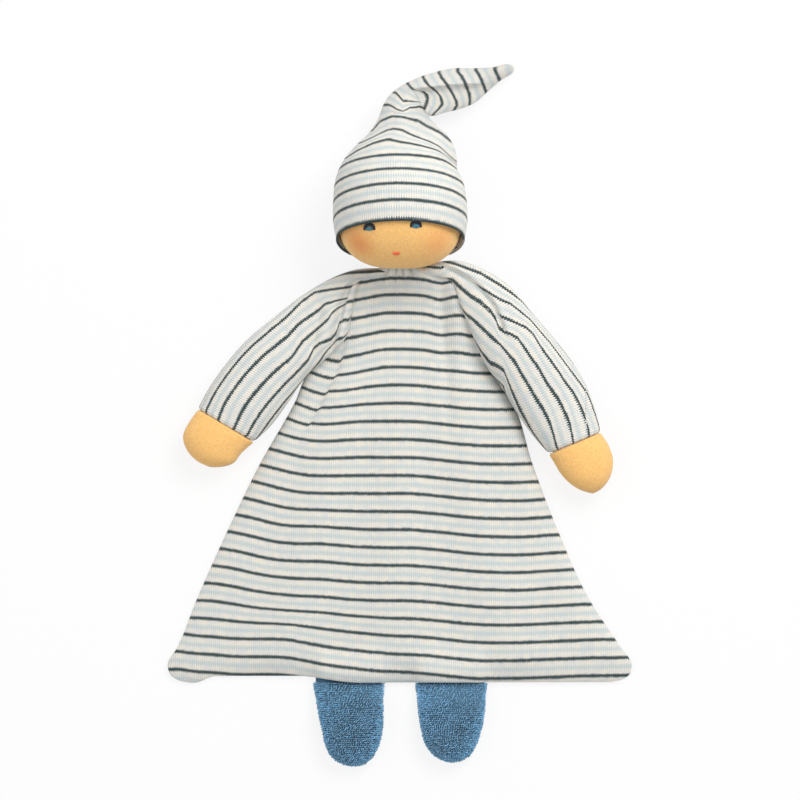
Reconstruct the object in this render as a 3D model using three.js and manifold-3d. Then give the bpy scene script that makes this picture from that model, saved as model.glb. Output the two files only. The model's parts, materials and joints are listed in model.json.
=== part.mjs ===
// Doll comforter lying on its back: a stuffed head in a pointed hat, a flat dress of two cloth layers,
// stuffed sleeves with hands, and terry feet in the hem. Millimetres, +Z up from the floor, head towards +Y.
import * as THREE from "three";
import { LoftGeometry } from "three/addons/geometries/LoftGeometry.js";
import { mergeVertices } from "three/addons/utils/BufferGeometryUtils.js";
import Module from "manifold-3d";

const wasm = await Module();
wasm.setup();

// Cloths and clearances
const JERSEY = 1.2;
const SKIN = 1.0;
const GAUZE = 0.8;
const TERRY = 2.0;
const THREAD = 0.9;
const SEW_GAP = 0.3;
const SWING_GAP = 0.5;
const FLOOR_GAP = 0.4;
const POLE_ANGLE = THREE.MathUtils.degToRad(14);
const TIP_ANGLE = THREE.MathUtils.degToRad(5);

// Dress
const DRESS_LENGTH = 201;
const HEM_WIDTH = 233;
const HEM_CORNER = 9;
const UNDERARM_WIDTH = 89;
const UNDERARM_DROP = 47;
const NECKLINE_WIDTH = 20;
const CHEST_LIFT = 9;
const HEM_LIFT = 4;
const HEM_ROLL = 14;
const FOLD_HEIGHT = 2.2;
const FOLD_COUNT = 4;

// Head and neck
const HEAD_WIDTH = 63;
const HEAD_HEIGHT = 59;
const HEAD_NOD = THREE.MathUtils.degToRad(22);
const NECK_WIDTH = 11;
const NECK_STEM = 0.5;
const NECK_RISE = 5.5;
const NECK_SINK = 3.5;
const NECK_PLUG = 5;
const STUB_LENGTH = 22;
const STUB_WIDTH = 25;
const STUB_WALL = 1.2;
const STUB_MOUTH = 1.6;

// Face
const EYE_SPACING = 22.4;
const EYE_LEVEL = -9.6;
const EYE_SLANT = 1.3;
const FACE_SHIFT = -3.6;
const IRIS_WIDTH = 3.3;
const IRIS_HEIGHT = 2.2;
const LASH_WIDTH = 6.2;
const LASH_RISE = 1.8;
const MOUTH_SHIFT = -1.8;
const MOUTH_LEVEL = -22.8;
const MOUTH_WIDTH = 3.2;
const MOUTH_HEIGHT = 1.8;
const STITCH_HEIGHT = 1.0;

// Hat
const HAT_EASE = 0.8;
const HAT_TILT = THREE.MathUtils.degToRad(17);
const BRIM_DROP = 13.6;
const CROWN_LENGTH = 51;
const CROWN_END_WIDTH = 14;
const TAIL_LENGTH = 58;
const TAIL_ROOT = 15;
const TAIL_SWELL = 3.4;
const TAIL_THICKNESS = 12;
const TAIL_TIP = 3;
const TAIL_TAPER = 3;
const TAIL_REST_PLACE = 0.7;
const TAIL_ANGLE = THREE.MathUtils.degToRad(16);

// Arms and hands
const ARM_LENGTH = 63;
const SHOULDER_WIDTH = 34;
const ARM_SWELL = 0.6;
const WRIST_WIDTH = 29.5;
const ARM_THICKNESS = 21;
const HAND_LENGTH = 24.5;
const HAND_WIDTH = 31;
const HAND_ROUNDNESS = 3;
const HAND_FULL_PLACE = 0.5;
const SHOULDER_PLACE = 0.785;
const SHOULDER_EASE = 1.6;
const YOKE_TOP = 0.06;
const YOKE_FOOT = 0.68;
const YOKE_WIDTH = 31;
const YOKE_NECK_THICKNESS = 8;
const YOKE_THICKNESS = 17;
const RIGHT_ARM_DROP = THREE.MathUtils.degToRad(52);
const LEFT_ARM_DROP = THREE.MathUtils.degToRad(56);

// Feet
const FOOT_LENGTH = 39.5;
const FOOT_WIDTH = 34;
const FOOT_THICKNESS = 16;
const FOOT_MOUTH = 1;
const FOOT_FLAT_RINGS = 1;
const FOOT_ROUNDNESS = 2.8;
const FOOT_FULL_PLACE = 0.62;
const FOOT_SPACING = 50.5;

// Finishes
const STRIPED_JERSEY = { color: 0xd5d6cf, roughness: 0.95, metalness: 0 };
const SKIN_JERSEY = { color: 0xf1be77, roughness: 0.9, metalness: 0 };
const BLUE_TERRY = { color: 0x52728b, roughness: 1, metalness: 0 };
const RAW_WOOL = { color: 0xe9e2d0, roughness: 1, metalness: 0 };
const COTTON_GAUZE = { color: 0xf2efe6, roughness: 0.95, metalness: 0 };
const PALE_THREAD = { color: 0xe5e1d6, roughness: 0.8, metalness: 0 };
const BLUE_FLOSS = { color: 0x3d6f97, roughness: 0.6, metalness: 0 };
const BLACK_FLOSS = { color: 0x1d1f22, roughness: 0.6, metalness: 0 };
const RED_FLOSS = { color: 0xd65a3c, roughness: 0.6, metalness: 0 };

// Places that follow from the sizes. The hem's middle, on the floor, is the working origin.
const headRadius = HEAD_HEIGHT / 2;
const hatRadius = headRadius + HAT_EASE + JERSEY;
const neckAxis = new THREE.Vector3(0, Math.cos(HEAD_NOD), Math.sin(HEAD_NOD));
const neckToHead = headRadius + NECK_STEM;
const necklineRadius = NECKLINE_WIDTH / 2;
const seamLevel = JERSEY + SEW_GAP / 2;
const underarmLevel = DRESS_LENGTH - UNDERARM_DROP;
const footHinge = FOOT_MOUTH / 2 + TERRY;
const headStretch = HEAD_WIDTH / HEAD_HEIGHT;
const knobRadius = NECK_WIDTH / 2 + SEW_GAP + THREAD;

const { lerp, smoothstep, clamp } = THREE.MathUtils;

// Crown of the hat along its own axis: round over the head, then drawn in to the root of the tail.
function hatCrownProfile(inset) {
  const profile = [];
  const radius = hatRadius - inset;
  const endRadius = CROWN_END_WIDTH / 2 - inset;
  const steps = 9;
  for (let i = 0; i <= steps; i += 1) {
    const along = lerp(-BRIM_DROP, CROWN_LENGTH, i / steps);
    const below = Math.sqrt(radius ** 2 - Math.min(along, 0) ** 2);
    const taper = Math.cos((Math.PI / 2) * Math.max(0, along / CROWN_LENGTH));
    profile.push(new THREE.Vector2(along < 0 ? below : lerp(endRadius, radius, taper), along));
  }
  return profile;
}

// The hat's lowest point lies on the floor, which sets the level of the head and of the neck.
function hatReach({ x, y }) {
  return x * Math.cos(HAT_TILT) + y * Math.sin(HAT_TILT);
}

const headLift = Math.max(...hatCrownProfile(0).map(hatReach)) + FLOOR_GAP;
const neckLevel = headLift - neckToHead * neckAxis.z;
const neckPivot = new THREE.Vector3(0, DRESS_LENGTH + NECK_RISE, neckLevel);
const necklineLevel = neckLevel - NECK_SINK;

function piece(name, geometry, finish) {
  const mesh = new THREE.Mesh(geometry, new THREE.MeshStandardMaterial(finish));
  mesh.name = name;
  return mesh;
}

function solid(geometry) {
  const bare = new THREE.BufferGeometry();
  bare.setAttribute("position", geometry.getAttribute("position"));
  bare.setIndex(geometry.index);
  const merged = mergeVertices(bare, 1e-4);
  const vertProperties = merged.attributes.position.array;
  const triVerts = new Uint32Array(merged.index.array);
  return new wasm.Manifold(new wasm.Mesh({ numProp: 3, vertProperties, triVerts }));
}

function geometryOf(body) {
  const { vertProperties, triVerts } = body.getMesh();
  const geometry = new THREE.BufferGeometry();
  geometry.setAttribute("position", new THREE.BufferAttribute(vertProperties, 3));
  geometry.setIndex(new THREE.BufferAttribute(triVerts, 1));
  geometry.computeVertexNormals();
  return geometry;
}

function cut(geometry, ...cutters) {
  let body = solid(geometry);
  for (const cutter of cutters) {
    body = body.subtract(solid(cutter));
  }
  return geometryOf(body);
}

function skinned(rings) {
  return new LoftGeometry(rings, { capStart: true, capEnd: true });
}

// Oval of points across +X, at one distance along a limb.
function oval(x, halfWidth, halfHeight, z, sides) {
  const ring = [];
  for (let i = 0; i < sides; i += 1) {
    const angle = (2 * Math.PI * i) / sides;
    ring.push(new THREE.Vector3(x, halfWidth * Math.cos(angle), z + halfHeight * Math.sin(angle)));
  }
  return ring;
}

// Steps round a quarter circle, from just off its pole to its full radius.
function roundSteps(count) {
  const steps = [];
  for (let i = 0; i < count; i += 1) {
    const angle = lerp(POLE_ANGLE, Math.PI / 2, i / count);
    steps.push({ back: Math.cos(angle), share: Math.sin(angle) });
  }
  return steps;
}

// Thread along a curve, with a round section.
function thread(curve, steps) {
  const section = new THREE.Shape();
  section.absarc(0, 0, THREAD / 2, 0, 2 * Math.PI);
  return new THREE.ExtrudeGeometry(section, { steps, extrudePath: curve, curveSegments: 3 });
}

// Steps along a limb, from its start to just short of its round tip.
function tipSteps(count) {
  const steps = [];
  for (let i = 0; i <= count; i += 1) {
    steps.push(Math.sin((i / count) * (Math.PI / 2 - TIP_ANGLE)));
  }
  return steps;
}

// Upright pillar that clears the round end of a piece that swings about +Z.
function swingRoom(radius, x, y) {
  const pillar = new THREE.CylinderGeometry(radius + SWING_GAP, radius + SWING_GAP, DRESS_LENGTH, 40);
  return pillar.rotateX(Math.PI / 2).translate(x, y, 0);
}

// Dress: each row runs across the cloth at one distance from the hem.
function neckShare(y) {
  const drop = clamp((DRESS_LENGTH - y) / UNDERARM_DROP, 0, 1);
  return (1 - drop) ** 2;
}

function rimLevel(y) {
  return lerp(seamLevel, necklineLevel, neckShare(y));
}

function dressHalfWidth(y) {
  if (y > underarmLevel) {
    const down = (DRESS_LENGTH - y) / UNDERARM_DROP;
    return lerp(necklineRadius, UNDERARM_WIDTH / 2, down);
  }
  if (y > HEM_CORNER) {
    const up = (y - HEM_CORNER) / (underarmLevel - HEM_CORNER);
    return lerp(HEM_WIDTH, UNDERARM_WIDTH, up) / 2;
  }
  return HEM_WIDTH / 2 - HEM_CORNER + Math.sqrt(HEM_CORNER ** 2 - (HEM_CORNER - y) ** 2);
}

function frontUnderside(across, y) {
  const share = neckShare(y);
  const hemShare = Math.sqrt(clamp(y / HEM_ROLL, 0, 1));
  const bodyLift = lerp(HEM_LIFT, CHEST_LIFT, y / DRESS_LENGTH) * hemShare;
  const arch = Math.sqrt(Math.max(0, 1 - across ** 2));
  const wave = 0.5 + 0.5 * Math.cos(FOLD_COUNT * Math.PI * across);
  const fold = FOLD_HEIGHT * wave * arch * (1 - share) * hemShare;
  return rimLevel(y) + SEW_GAP / 2 + lerp(bodyLift, necklineRadius, share) * arch + fold;
}

function backTop(across, y) {
  const arch = Math.sqrt(Math.max(0, 1 - across ** 2));
  return rimLevel(y) - SEW_GAP / 2 - necklineRadius * neckShare(y) * arch;
}

function dressRows(yokeRows, skirtRows, cornerRows) {
  const rows = [];
  for (let i = 0; i < cornerRows; i += 1) {
    rows.push(HEM_CORNER * (1 - Math.cos((i / cornerRows) * (Math.PI / 2))));
  }
  for (let i = 0; i < skirtRows; i += 1) {
    rows.push(lerp(HEM_CORNER, underarmLevel, i / skirtRows));
  }
  for (let i = 0; i <= yokeRows; i += 1) {
    rows.push(lerp(underarmLevel, DRESS_LENGTH, i / yokeRows));
  }
  return rows;
}

function clothPanel(rows, columns, underside) {
  const rings = rows.map((y) => {
    const top = [];
    const bottom = [];
    for (let i = 0; i <= columns; i += 1) {
      const across = -Math.cos((Math.PI * i) / columns);
      const x = across * dressHalfWidth(y);
      const z = underside(across, y);
      top.push(new THREE.Vector3(x, y, z + JERSEY));
      bottom.unshift(new THREE.Vector3(x, y, z));
    }
    return [...top, ...bottom];
  });
  return skinned(rings);
}

function dress() {
  const group = new THREE.Group();
  const front = clothPanel(dressRows(7, 8, 3), 18, frontUnderside);
  const back = clothPanel(dressRows(7, 3, 3), 12, (across, y) => backTop(across, y) - JERSEY);
  group.add(piece("dress_front", front, STRIPED_JERSEY));
  group.add(piece("dress_back", back, STRIPED_JERSEY));

  const gather = new THREE.TorusGeometry(necklineRadius + JERSEY / 2, THREAD / 2, 5, 22);
  gather.rotateX(Math.PI / 2);
  gather.translate(0, DRESS_LENGTH + SEW_GAP + THREAD / 2, necklineLevel);
  group.add(piece("neck_gather_thread", gather, PALE_THREAD));
  group.add(piece("neck_stub", neckStub(), RAW_WOOL));
  return group;
}

// End of the head's tube inside the dress: a socket round the neck's knob, pressed flat lower down.
function neckStub() {
  const halfWidth = knobRadius + SEW_GAP + STUB_WALL;
  const flatTop = DRESS_LENGTH - STUB_WALL - knobRadius;
  const rings = [];
  const steps = 4;
  for (let i = steps; i >= 0; i -= 1) {
    const y = flatTop - (STUB_LENGTH * i) / steps;
    const upper = frontUnderside(0, y) - FOLD_HEIGHT * (1 - neckShare(y)) - SEW_GAP;
    const lower = backTop(0, y) + SEW_GAP;
    const spread = lerp(halfWidth, STUB_WIDTH / 2, i / steps);
    rings.push(ovalAcross(y, spread, (upper - lower) / 2, (upper + lower) / 2));
  }
  for (const rise of [-knobRadius, 0, knobRadius]) {
    const level = neckLevel + rise * Math.tan(HEAD_NOD);
    rings.push(ovalAcross(neckPivot.y + rise, halfWidth, halfWidth, level));
  }
  const socket = new THREE.SphereGeometry(knobRadius + SEW_GAP, 24, 16).rotateX(HEAD_NOD);
  const mouth = neckRod(2 * halfWidth, -STUB_MOUTH, 2 * halfWidth);
  const place = neckPivot.toArray();
  return cut(skinned(rings), socket.translate(...place), mouth.translate(...place));
}

function ovalAcross(y, halfWidth, halfHeight, z) {
  return oval(0, halfWidth, halfHeight, z, 16).map((point) => new THREE.Vector3(-point.y, y, point.z));
}

// Shoulder pivot and raglan seam, on the side given by +1 (the doll's left) or -1 (its right).
const raglanTop = new THREE.Vector2(necklineRadius, DRESS_LENGTH);
const raglanFoot = new THREE.Vector2(UNDERARM_WIDTH / 2, underarmLevel);
const raglanRun = raglanFoot.clone().sub(raglanTop);
const raglanOut = new THREE.Vector2(-raglanRun.y, raglanRun.x).normalize();
const armLevel = ARM_THICKNESS / 2 + FLOOR_GAP;
const shoulder = raglanTop
  .clone()
  .addScaledVector(raglanRun, SHOULDER_PLACE)
  .addScaledVector(raglanOut, SHOULDER_WIDTH / 2 + SHOULDER_EASE);

// Part of the sleeve between the raglan seam and the round end of the arm.
function sleeveYoke(side) {
  const rings = [];
  const steps = 7;
  for (let i = 0; i <= steps; i += 1) {
    const down = lerp(YOKE_TOP, YOKE_FOOT, i / steps);
    const share = smoothstep(down, YOKE_TOP, YOKE_FOOT);
    const width = YOKE_WIDTH * Math.sqrt(down / YOKE_FOOT);
    const halfHeight = lerp(YOKE_NECK_THICKNESS, YOKE_THICKNESS, share) / 2;
    const level = lerp(necklineLevel, armLevel, share);
    const base = raglanTop.clone().addScaledVector(raglanRun, down);
    const ring = oval(0, width / 2, halfHeight, level, 14).map((point) => {
      const place = base.clone().addScaledVector(raglanOut, SEW_GAP + width / 2 + side * point.y);
      return new THREE.Vector3(side * place.x, place.y, point.z);
    });
    rings.push(ring);
  }
  return cut(skinned(rings), swingRoom(SHOULDER_WIDTH / 2, side * shoulder.x, shoulder.y));
}

// Arm along +X from the shoulder pivot. Its end behind the pivot is round, so that it can swing.
function armRings(inset, overrun) {
  const rings = [];
  const sides = 14;
  const radius = SHOULDER_WIDTH / 2 - inset;
  const halfHeight = ARM_THICKNESS / 2 - inset;
  for (const { back, share } of roundSteps(4)) {
    rings.push(oval(-radius * back, radius * share, halfHeight * share, armLevel, sides));
  }
  const steps = 5;
  for (let i = 0; i <= steps; i += 1) {
    const along = i / steps;
    const swell = ARM_SWELL * Math.sin(Math.PI * along);
    const halfWidth = lerp(SHOULDER_WIDTH, WRIST_WIDTH, along) / 2 + swell - inset;
    rings.push(oval(ARM_LENGTH * along, halfWidth, halfHeight, armLevel, sides));
  }
  if (overrun > 0) {
    rings.push(oval(ARM_LENGTH + overrun, WRIST_WIDTH / 2 - inset, halfHeight, armLevel, sides));
  }
  return rings;
}

function handRings(inset, overrun) {
  const rings = [];
  const sides = 14;
  const start = ARM_LENGTH + SEW_GAP;
  if (overrun > 0) {
    rings.push(oval(start - overrun, WRIST_WIDTH / 2 - inset, ARM_THICKNESS / 2 - inset, armLevel, sides));
  }
  for (const along of tipSteps(6)) {
    const tip = Math.sqrt(1 - along ** HAND_ROUNDNESS);
    const halfWidth = lerp(WRIST_WIDTH, HAND_WIDTH, smoothstep(along, 0, HAND_FULL_PLACE)) / 2 - inset;
    const halfHeight = ARM_THICKNESS / 2 - inset;
    const x = start + (HAND_LENGTH - inset) * along;
    rings.push(oval(x, halfWidth * tip, halfHeight * tip, armLevel, sides));
  }
  return rings;
}

function arm(sideName, side, drop) {
  const group = new THREE.Group();
  group.name = `${sideName}_arm`;
  group.position.set(side * shoulder.x, shoulder.y, 0);
  group.rotation.z = side > 0 ? -drop : Math.PI + drop;
  const overrun = 2;
  const sleeve = cut(skinned(armRings(0, 0)), skinned(armRings(JERSEY, overrun)));
  const hand = cut(skinned(handRings(0, 0)), skinned(handRings(SKIN, overrun)));
  const wool = skinned([...armRings(JERSEY + SEW_GAP, 0), ...handRings(SKIN + SEW_GAP, 0)]);
  group.add(piece(`${sideName}_sleeve`, sleeve, STRIPED_JERSEY));
  group.add(piece(`${sideName}_hand`, hand, SKIN_JERSEY));
  group.add(piece(`${sideName}_arm_wool`, wool, RAW_WOOL));
  return group;
}

// Foot along +X from its hinge in the hem, flat underneath and round at the toes.
function footRings(inset) {
  const rings = [];
  const sides = 14;
  for (const along of tipSteps(8)) {
    const x = (FOOT_LENGTH - inset) * along;
    const tip = Math.sqrt(1 - along ** FOOT_ROUNDNESS);
    const rise = Math.sin((Math.PI / 2) * Math.min(1, along / FOOT_FULL_PLACE));
    const outer = lerp(footHinge, FOOT_THICKNESS / 2, rise);
    const halfHeight = (outer - inset) * tip;
    rings.push(oval(x, (FOOT_WIDTH / 2 - inset) * tip, halfHeight, outer - footHinge, sides));
  }
  return rings;
}

function footShell() {
  const sides = 14;
  const rim = roundSteps(3).map(({ back, share }) =>
    oval(-footHinge * back, FOOT_WIDTH / 2, footHinge * share, 0, sides),
  );
  const mouth = oval(-2 * footHinge, FOOT_WIDTH / 2 - TERRY, FOOT_MOUTH / 2, 0, sides);
  return cut(skinned([...rim, ...footRings(0)]), skinned([mouth, ...footRings(TERRY)]));
}

function foot(sideName, side) {
  const group = new THREE.Group();
  group.name = `${sideName}_foot`;
  group.position.set((side * FOOT_SPACING) / 2, -footHinge - SWING_GAP, footHinge + FLOOR_GAP);
  group.rotation.z = -Math.PI / 2;
  const wool = skinned(footRings(TERRY + SEW_GAP).slice(FOOT_FLAT_RINGS));
  group.add(piece(`${sideName}_foot_terry`, footShell(), BLUE_TERRY));
  group.add(piece(`${sideName}_foot_wool`, wool, RAW_WOOL));
  return group;
}

// Head about its own centre, with the neck's axis running through it.
function headBall(inset) {
  const ball = new THREE.SphereGeometry(headRadius - inset, 20, 13);
  ball.scale(headStretch, 1, 1);
  return ball.rotateX(HEAD_NOD);
}

function neckRod(radius, from, to) {
  const rod = new THREE.CylinderGeometry(radius, radius, to - from, 24);
  return rod.translate(0, (from + to) / 2, 0).rotateX(HEAD_NOD);
}

function faceSpot(x, y, stitches) {
  const spot = new THREE.Group();
  const halfWidth = HEAD_WIDTH / 2;
  const z = headRadius * Math.sqrt(1 - (x / halfWidth) ** 2 - (y / headRadius) ** 2);
  const normal = new THREE.Vector3(x / halfWidth ** 2, y / headRadius ** 2, z / headRadius ** 2).normalize();
  spot.position.set(x, y, z).addScaledVector(normal, SEW_GAP + STITCH_HEIGHT / 2);
  spot.quaternion.setFromUnitVectors(new THREE.Vector3(0, 0, 1), normal);
  spot.add(...stitches);
  return spot;
}

function satinPatch(width, height) {
  const patch = new THREE.SphereGeometry(0.5, 10, 6);
  return patch.scale(width, height, STITCH_HEIGHT);
}

function eye(sideName, side) {
  const x = FACE_SHIFT + (side * EYE_SPACING) / 2;
  const y = EYE_LEVEL + (side * EYE_SLANT) / 2;
  const lashLine = new THREE.QuadraticBezierCurve3(
    new THREE.Vector3(-LASH_WIDTH / 2, 0, 0),
    new THREE.Vector3(0, 2 * LASH_RISE, 0),
    new THREE.Vector3(LASH_WIDTH / 2, 0, 0),
  );
  const iris = piece(`${sideName}_iris`, satinPatch(IRIS_WIDTH, IRIS_HEIGHT), BLUE_FLOSS);
  const lash = piece(`${sideName}_lash`, thread(lashLine, 10), BLACK_FLOSS);
  return faceSpot(x, y, [iris, lash]);
}

// Crown of the hat as a cloth cup, open at the brim and closed at the bend.
function hatCrown() {
  const outer = hatCrownProfile(0);
  const inner = hatCrownProfile(JERSEY).reverse();
  const tip = new THREE.Vector2(0, CROWN_LENGTH);
  const innerTip = new THREE.Vector2(0, CROWN_LENGTH - JERSEY);
  inner[0].y = innerTip.y;
  const shell = new THREE.LatheGeometry([innerTip, ...inner, ...outer, tip], 22);
  shell.scale(headStretch, 1, 1);
  return shell.rotateX(-HAT_TILT);
}

const tailReach = CROWN_LENGTH + SWING_GAP + TAIL_ROOT / 2;
const tailPivot = new THREE.Vector3(0, tailReach * Math.cos(HAT_TILT), -tailReach * Math.sin(HAT_TILT));

// Tail of the hat along +X from its bend: round at the root, a broad leaf, drooping to the floor at its tip.
function hatTail() {
  const rings = [];
  const sides = 16;
  const radius = TAIL_ROOT / 2;
  for (const { back, share } of roundSteps(4)) {
    rings.push(oval(-radius * back, radius * share, (TAIL_THICKNESS / 2) * share, 0, sides));
  }
  const steps = 9;
  const rootLevel = headLift + tailPivot.z;
  for (let i = 0; i <= steps; i += 1) {
    const along = i / steps;
    const x = TAIL_LENGTH * along;
    const swell = TAIL_SWELL * Math.sin(Math.PI * along);
    const halfWidth = lerp(radius + swell, TAIL_TIP / 2, along ** TAIL_TAPER);
    const halfHeight = lerp(TAIL_THICKNESS, TAIL_TIP, Math.sqrt(along)) / 2;
    const sink = (x * Math.sin(TAIL_ANGLE) + halfWidth * Math.cos(TAIL_ANGLE)) * Math.sin(HAT_TILT);
    const floorLevel = (FLOOR_GAP + sink - rootLevel) / Math.cos(HAT_TILT) + halfHeight;
    const level = lerp(0, floorLevel, smoothstep(along, 0, TAIL_REST_PLACE));
    rings.push(oval(x, halfWidth, halfHeight, level, sides));
  }
  return skinned(rings);
}

function hatTailGroup() {
  const group = new THREE.Group();
  group.name = "hat_tail";
  group.position.copy(tailPivot);
  group.rotation.set(-HAT_TILT, 0, TAIL_ANGLE);
  group.add(piece("hat_tail", hatTail(), STRIPED_JERSEY));
  return group;
}

function head() {
  const group = new THREE.Group();
  group.name = "head";
  group.position.copy(neckAxis).multiplyScalar(neckToHead);
  const below = -2 * headRadius;
  const opening = knobRadius + SEW_GAP;
  const neckRoom = neckRod(opening, below, -headRadius / 2);
  const lining = SKIN + SEW_GAP;
  const woolInset = lining + GAUZE + SEW_GAP;
  const plugTop = -headRadius + woolInset + NECK_PLUG;
  const plugRoom = neckRod(NECK_WIDTH / 2 + SEW_GAP, below, plugTop + SEW_GAP);
  group.add(piece("head_skin", cut(headBall(0), headBall(SKIN), neckRoom), SKIN_JERSEY));
  group.add(piece("head_gauze", cut(headBall(lining), headBall(lining + GAUZE), neckRoom), COTTON_GAUZE));
  group.add(piece("head_wool", cut(headBall(woolInset), plugRoom), RAW_WOOL));
  group.add(eye("right", -1));
  group.add(eye("left", 1));
  const mouth = piece("mouth", satinPatch(MOUTH_WIDTH, MOUTH_HEIGHT), RED_FLOSS);
  group.add(faceSpot(MOUTH_SHIFT, MOUTH_LEVEL, [mouth]));
  group.add(piece("hat_crown", hatCrown(), STRIPED_JERSEY));
  group.add(hatTailGroup());
  return group;
}

// Bound neck: a wool plug with a round knob in the stub's socket, and the thread tied round its waist.
function neck() {
  const group = new THREE.Group();
  group.name = "neck";
  group.position.copy(neckPivot);
  const radius = NECK_WIDTH / 2;
  const waist = THREAD / 2 + SEW_GAP;
  const plugTop = NECK_STEM + SKIN + GAUZE + 2 * SEW_GAP + NECK_PLUG;
  const knobEdge = Math.asin(waist / knobRadius);
  const profile = [new THREE.Vector2(0, -knobRadius)];
  const steps = 5;
  for (let i = 1; i <= steps; i += 1) {
    const angle = lerp(Math.PI / 2, knobEdge, i / steps);
    profile.push(new THREE.Vector2(knobRadius * Math.cos(angle), -knobRadius * Math.sin(angle)));
  }
  profile.push(new THREE.Vector2(radius, -waist));
  profile.push(new THREE.Vector2(radius, plugTop));
  profile.push(new THREE.Vector2(0, plugTop));
  const wool = new THREE.LatheGeometry(profile, 24);
  const binding = new THREE.TorusGeometry(radius + SEW_GAP + THREAD / 2, THREAD / 2, 5, 18);
  group.add(piece("neck_wool", wool.rotateX(HEAD_NOD), RAW_WOOL));
  group.add(piece("neck_binding_thread", binding.rotateX(Math.PI / 2 + HEAD_NOD), PALE_THREAD));
  group.add(head());
  return group;
}

// Whole doll, moved so that the middle of its box's underside is the origin.
const comforter = new THREE.Group();
const doll = new THREE.Group();
comforter.add(doll);
doll.add(dress());
doll.add(piece("right_sleeve_yoke", sleeveYoke(-1), STRIPED_JERSEY));
doll.add(piece("left_sleeve_yoke", sleeveYoke(1), STRIPED_JERSEY));
doll.add(arm("right", -1, RIGHT_ARM_DROP));
doll.add(arm("left", 1, LEFT_ARM_DROP));
doll.add(foot("right", -1));
doll.add(foot("left", 1));
doll.add(neck());

const box = new THREE.Box3().setFromObject(doll, true);
const middle = box.getCenter(new THREE.Vector3());
doll.position.set(-middle.x, -middle.y, -box.min.z);

export default comforter;
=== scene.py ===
"""Doll comforter lying on its back.

Striped jersey dress, sleeves and hat, stuffed head and hands, and terry feet.
"""

import json
import math

import bpy
import numpy as np
from bpy.props import FloatProperty, FloatVectorProperty, IntProperty, PointerProperty
from bpy.types import Operator, Panel, PropertyGroup
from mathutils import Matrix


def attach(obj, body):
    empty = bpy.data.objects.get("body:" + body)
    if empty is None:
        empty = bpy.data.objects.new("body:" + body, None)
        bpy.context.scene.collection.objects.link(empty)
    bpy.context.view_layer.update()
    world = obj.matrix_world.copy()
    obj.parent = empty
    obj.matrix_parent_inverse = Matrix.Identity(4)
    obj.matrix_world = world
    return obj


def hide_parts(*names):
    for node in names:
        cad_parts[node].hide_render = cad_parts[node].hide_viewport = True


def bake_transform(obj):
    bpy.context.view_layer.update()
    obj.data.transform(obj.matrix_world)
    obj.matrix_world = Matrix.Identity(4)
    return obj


bl_info = {
    "name": "Doll Comforter",
    "version": (1, 0, 0),
    "blender": (4, 5, 0),
    "location": "View3D > Sidebar > Comforter",
    "description": "Builds the cloth, stuffing and embroidery of a doll comforter round its frame",
    "category": "Object",
}

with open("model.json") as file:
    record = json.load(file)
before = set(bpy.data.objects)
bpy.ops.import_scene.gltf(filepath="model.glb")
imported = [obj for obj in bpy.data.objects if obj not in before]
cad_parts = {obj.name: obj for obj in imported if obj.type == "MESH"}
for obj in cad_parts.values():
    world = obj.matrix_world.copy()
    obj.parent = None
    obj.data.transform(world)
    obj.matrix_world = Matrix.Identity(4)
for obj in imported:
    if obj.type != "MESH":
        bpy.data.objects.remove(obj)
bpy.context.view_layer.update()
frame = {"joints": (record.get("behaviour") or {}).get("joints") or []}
joint_places = {joint["name"]: joint["pos_m"] for joint in frame["joints"]}

MM = 0.001
WEAVE = "weave"

# Stations are in millimetres. Each gives an outer and an inner edge point, a level, a half height,
# how far the ring leans forward for each millimetre up, and how high its inner edge is sewn on.
RIGHT_SLEEVE = (
    (-7.5, 73.2, -7.0, 68.5, 15.0, 6.6, 0, 0.70),
    (-22.0, 72.4, -19.5, 66.0, 14.0, 7.0, 0, 0.60),
    (-36.0, 67.2, -23.5, 52.5, 12.6, 7.6, 0, 0.50),
    (-49.5, 59.0, -27.0, 38.5, 11.6, 8.6, 0, 0.40),
    (-63.0, 48.6, -37.0, 28.0, 11.0, 9.6, 0, 0.20),
    (-76.0, 38.2, -46.2, 19.4, 10.9, 10.2, 0, 0),
    (-87.8, 24.8, -55.4, 5.8, 10.8, 10.4, 0, 0),
    (-96.3, 12.0, -64.3, -5.9, 10.7, 10.2, 0, 0),
    (-100.6, 3.2, -72.6, -13.5, 10.6, 9.8, 0, 0),
)
LEFT_SLEEVE = (
    (7.5, 74.2, 7.0, 69.0, 15.0, 6.6, 0, 0.70),
    (30.0, 76.6, 25.5, 66.5, 14.0, 7.2, 0, 0.60),
    (44.3, 71.2, 29.8, 55.5, 12.6, 8.0, 0, 0.50),
    (54.8, 64.0, 33.5, 46.0, 11.8, 9.0, 0, 0.40),
    (65.2, 51.6, 38.0, 35.0, 11.2, 9.8, 0, 0.20),
    (75.2, 40.6, 43.2, 23.6, 11.0, 10.3, 0, 0),
    (85.5, 27.8, 50.2, 13.4, 10.8, 10.4, 0, 0),
    (93.0, 15.5, 58.2, 0.0, 10.7, 10.2, 0, 0),
    (97.6, 2.8, 66.0, -10.9, 10.6, 10.0, 0, 0),
    (100.0, -8.3, 73.8, -19.4, 10.6, 9.8, 0, 0),
)
RIGHT_HAND = (
    (-100.4, 3.0, -72.8, -13.6, 10.6, 9.7, 0, 0),
    (-105.0, -3.5, -75.8, -16.0, 10.6, 10.1, 0, 0),
    (-108.1, -10.5, -79.5, -19.6, 10.4, 9.8, 0, 0),
    (-106.2, -17.5, -82.5, -23.6, 10.0, 8.6, 0, 0),
    (-101.3, -22.8, -87.5, -25.6, 9.4, 5.8, 0, 0),
    (-97.3, -24.9, -92.0, -26.0, 9.2, 2.8, 0, 0),
    (-95.0, -25.8, -94.8, -25.9, 9.2, 0.1, 0, 0),
)
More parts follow.
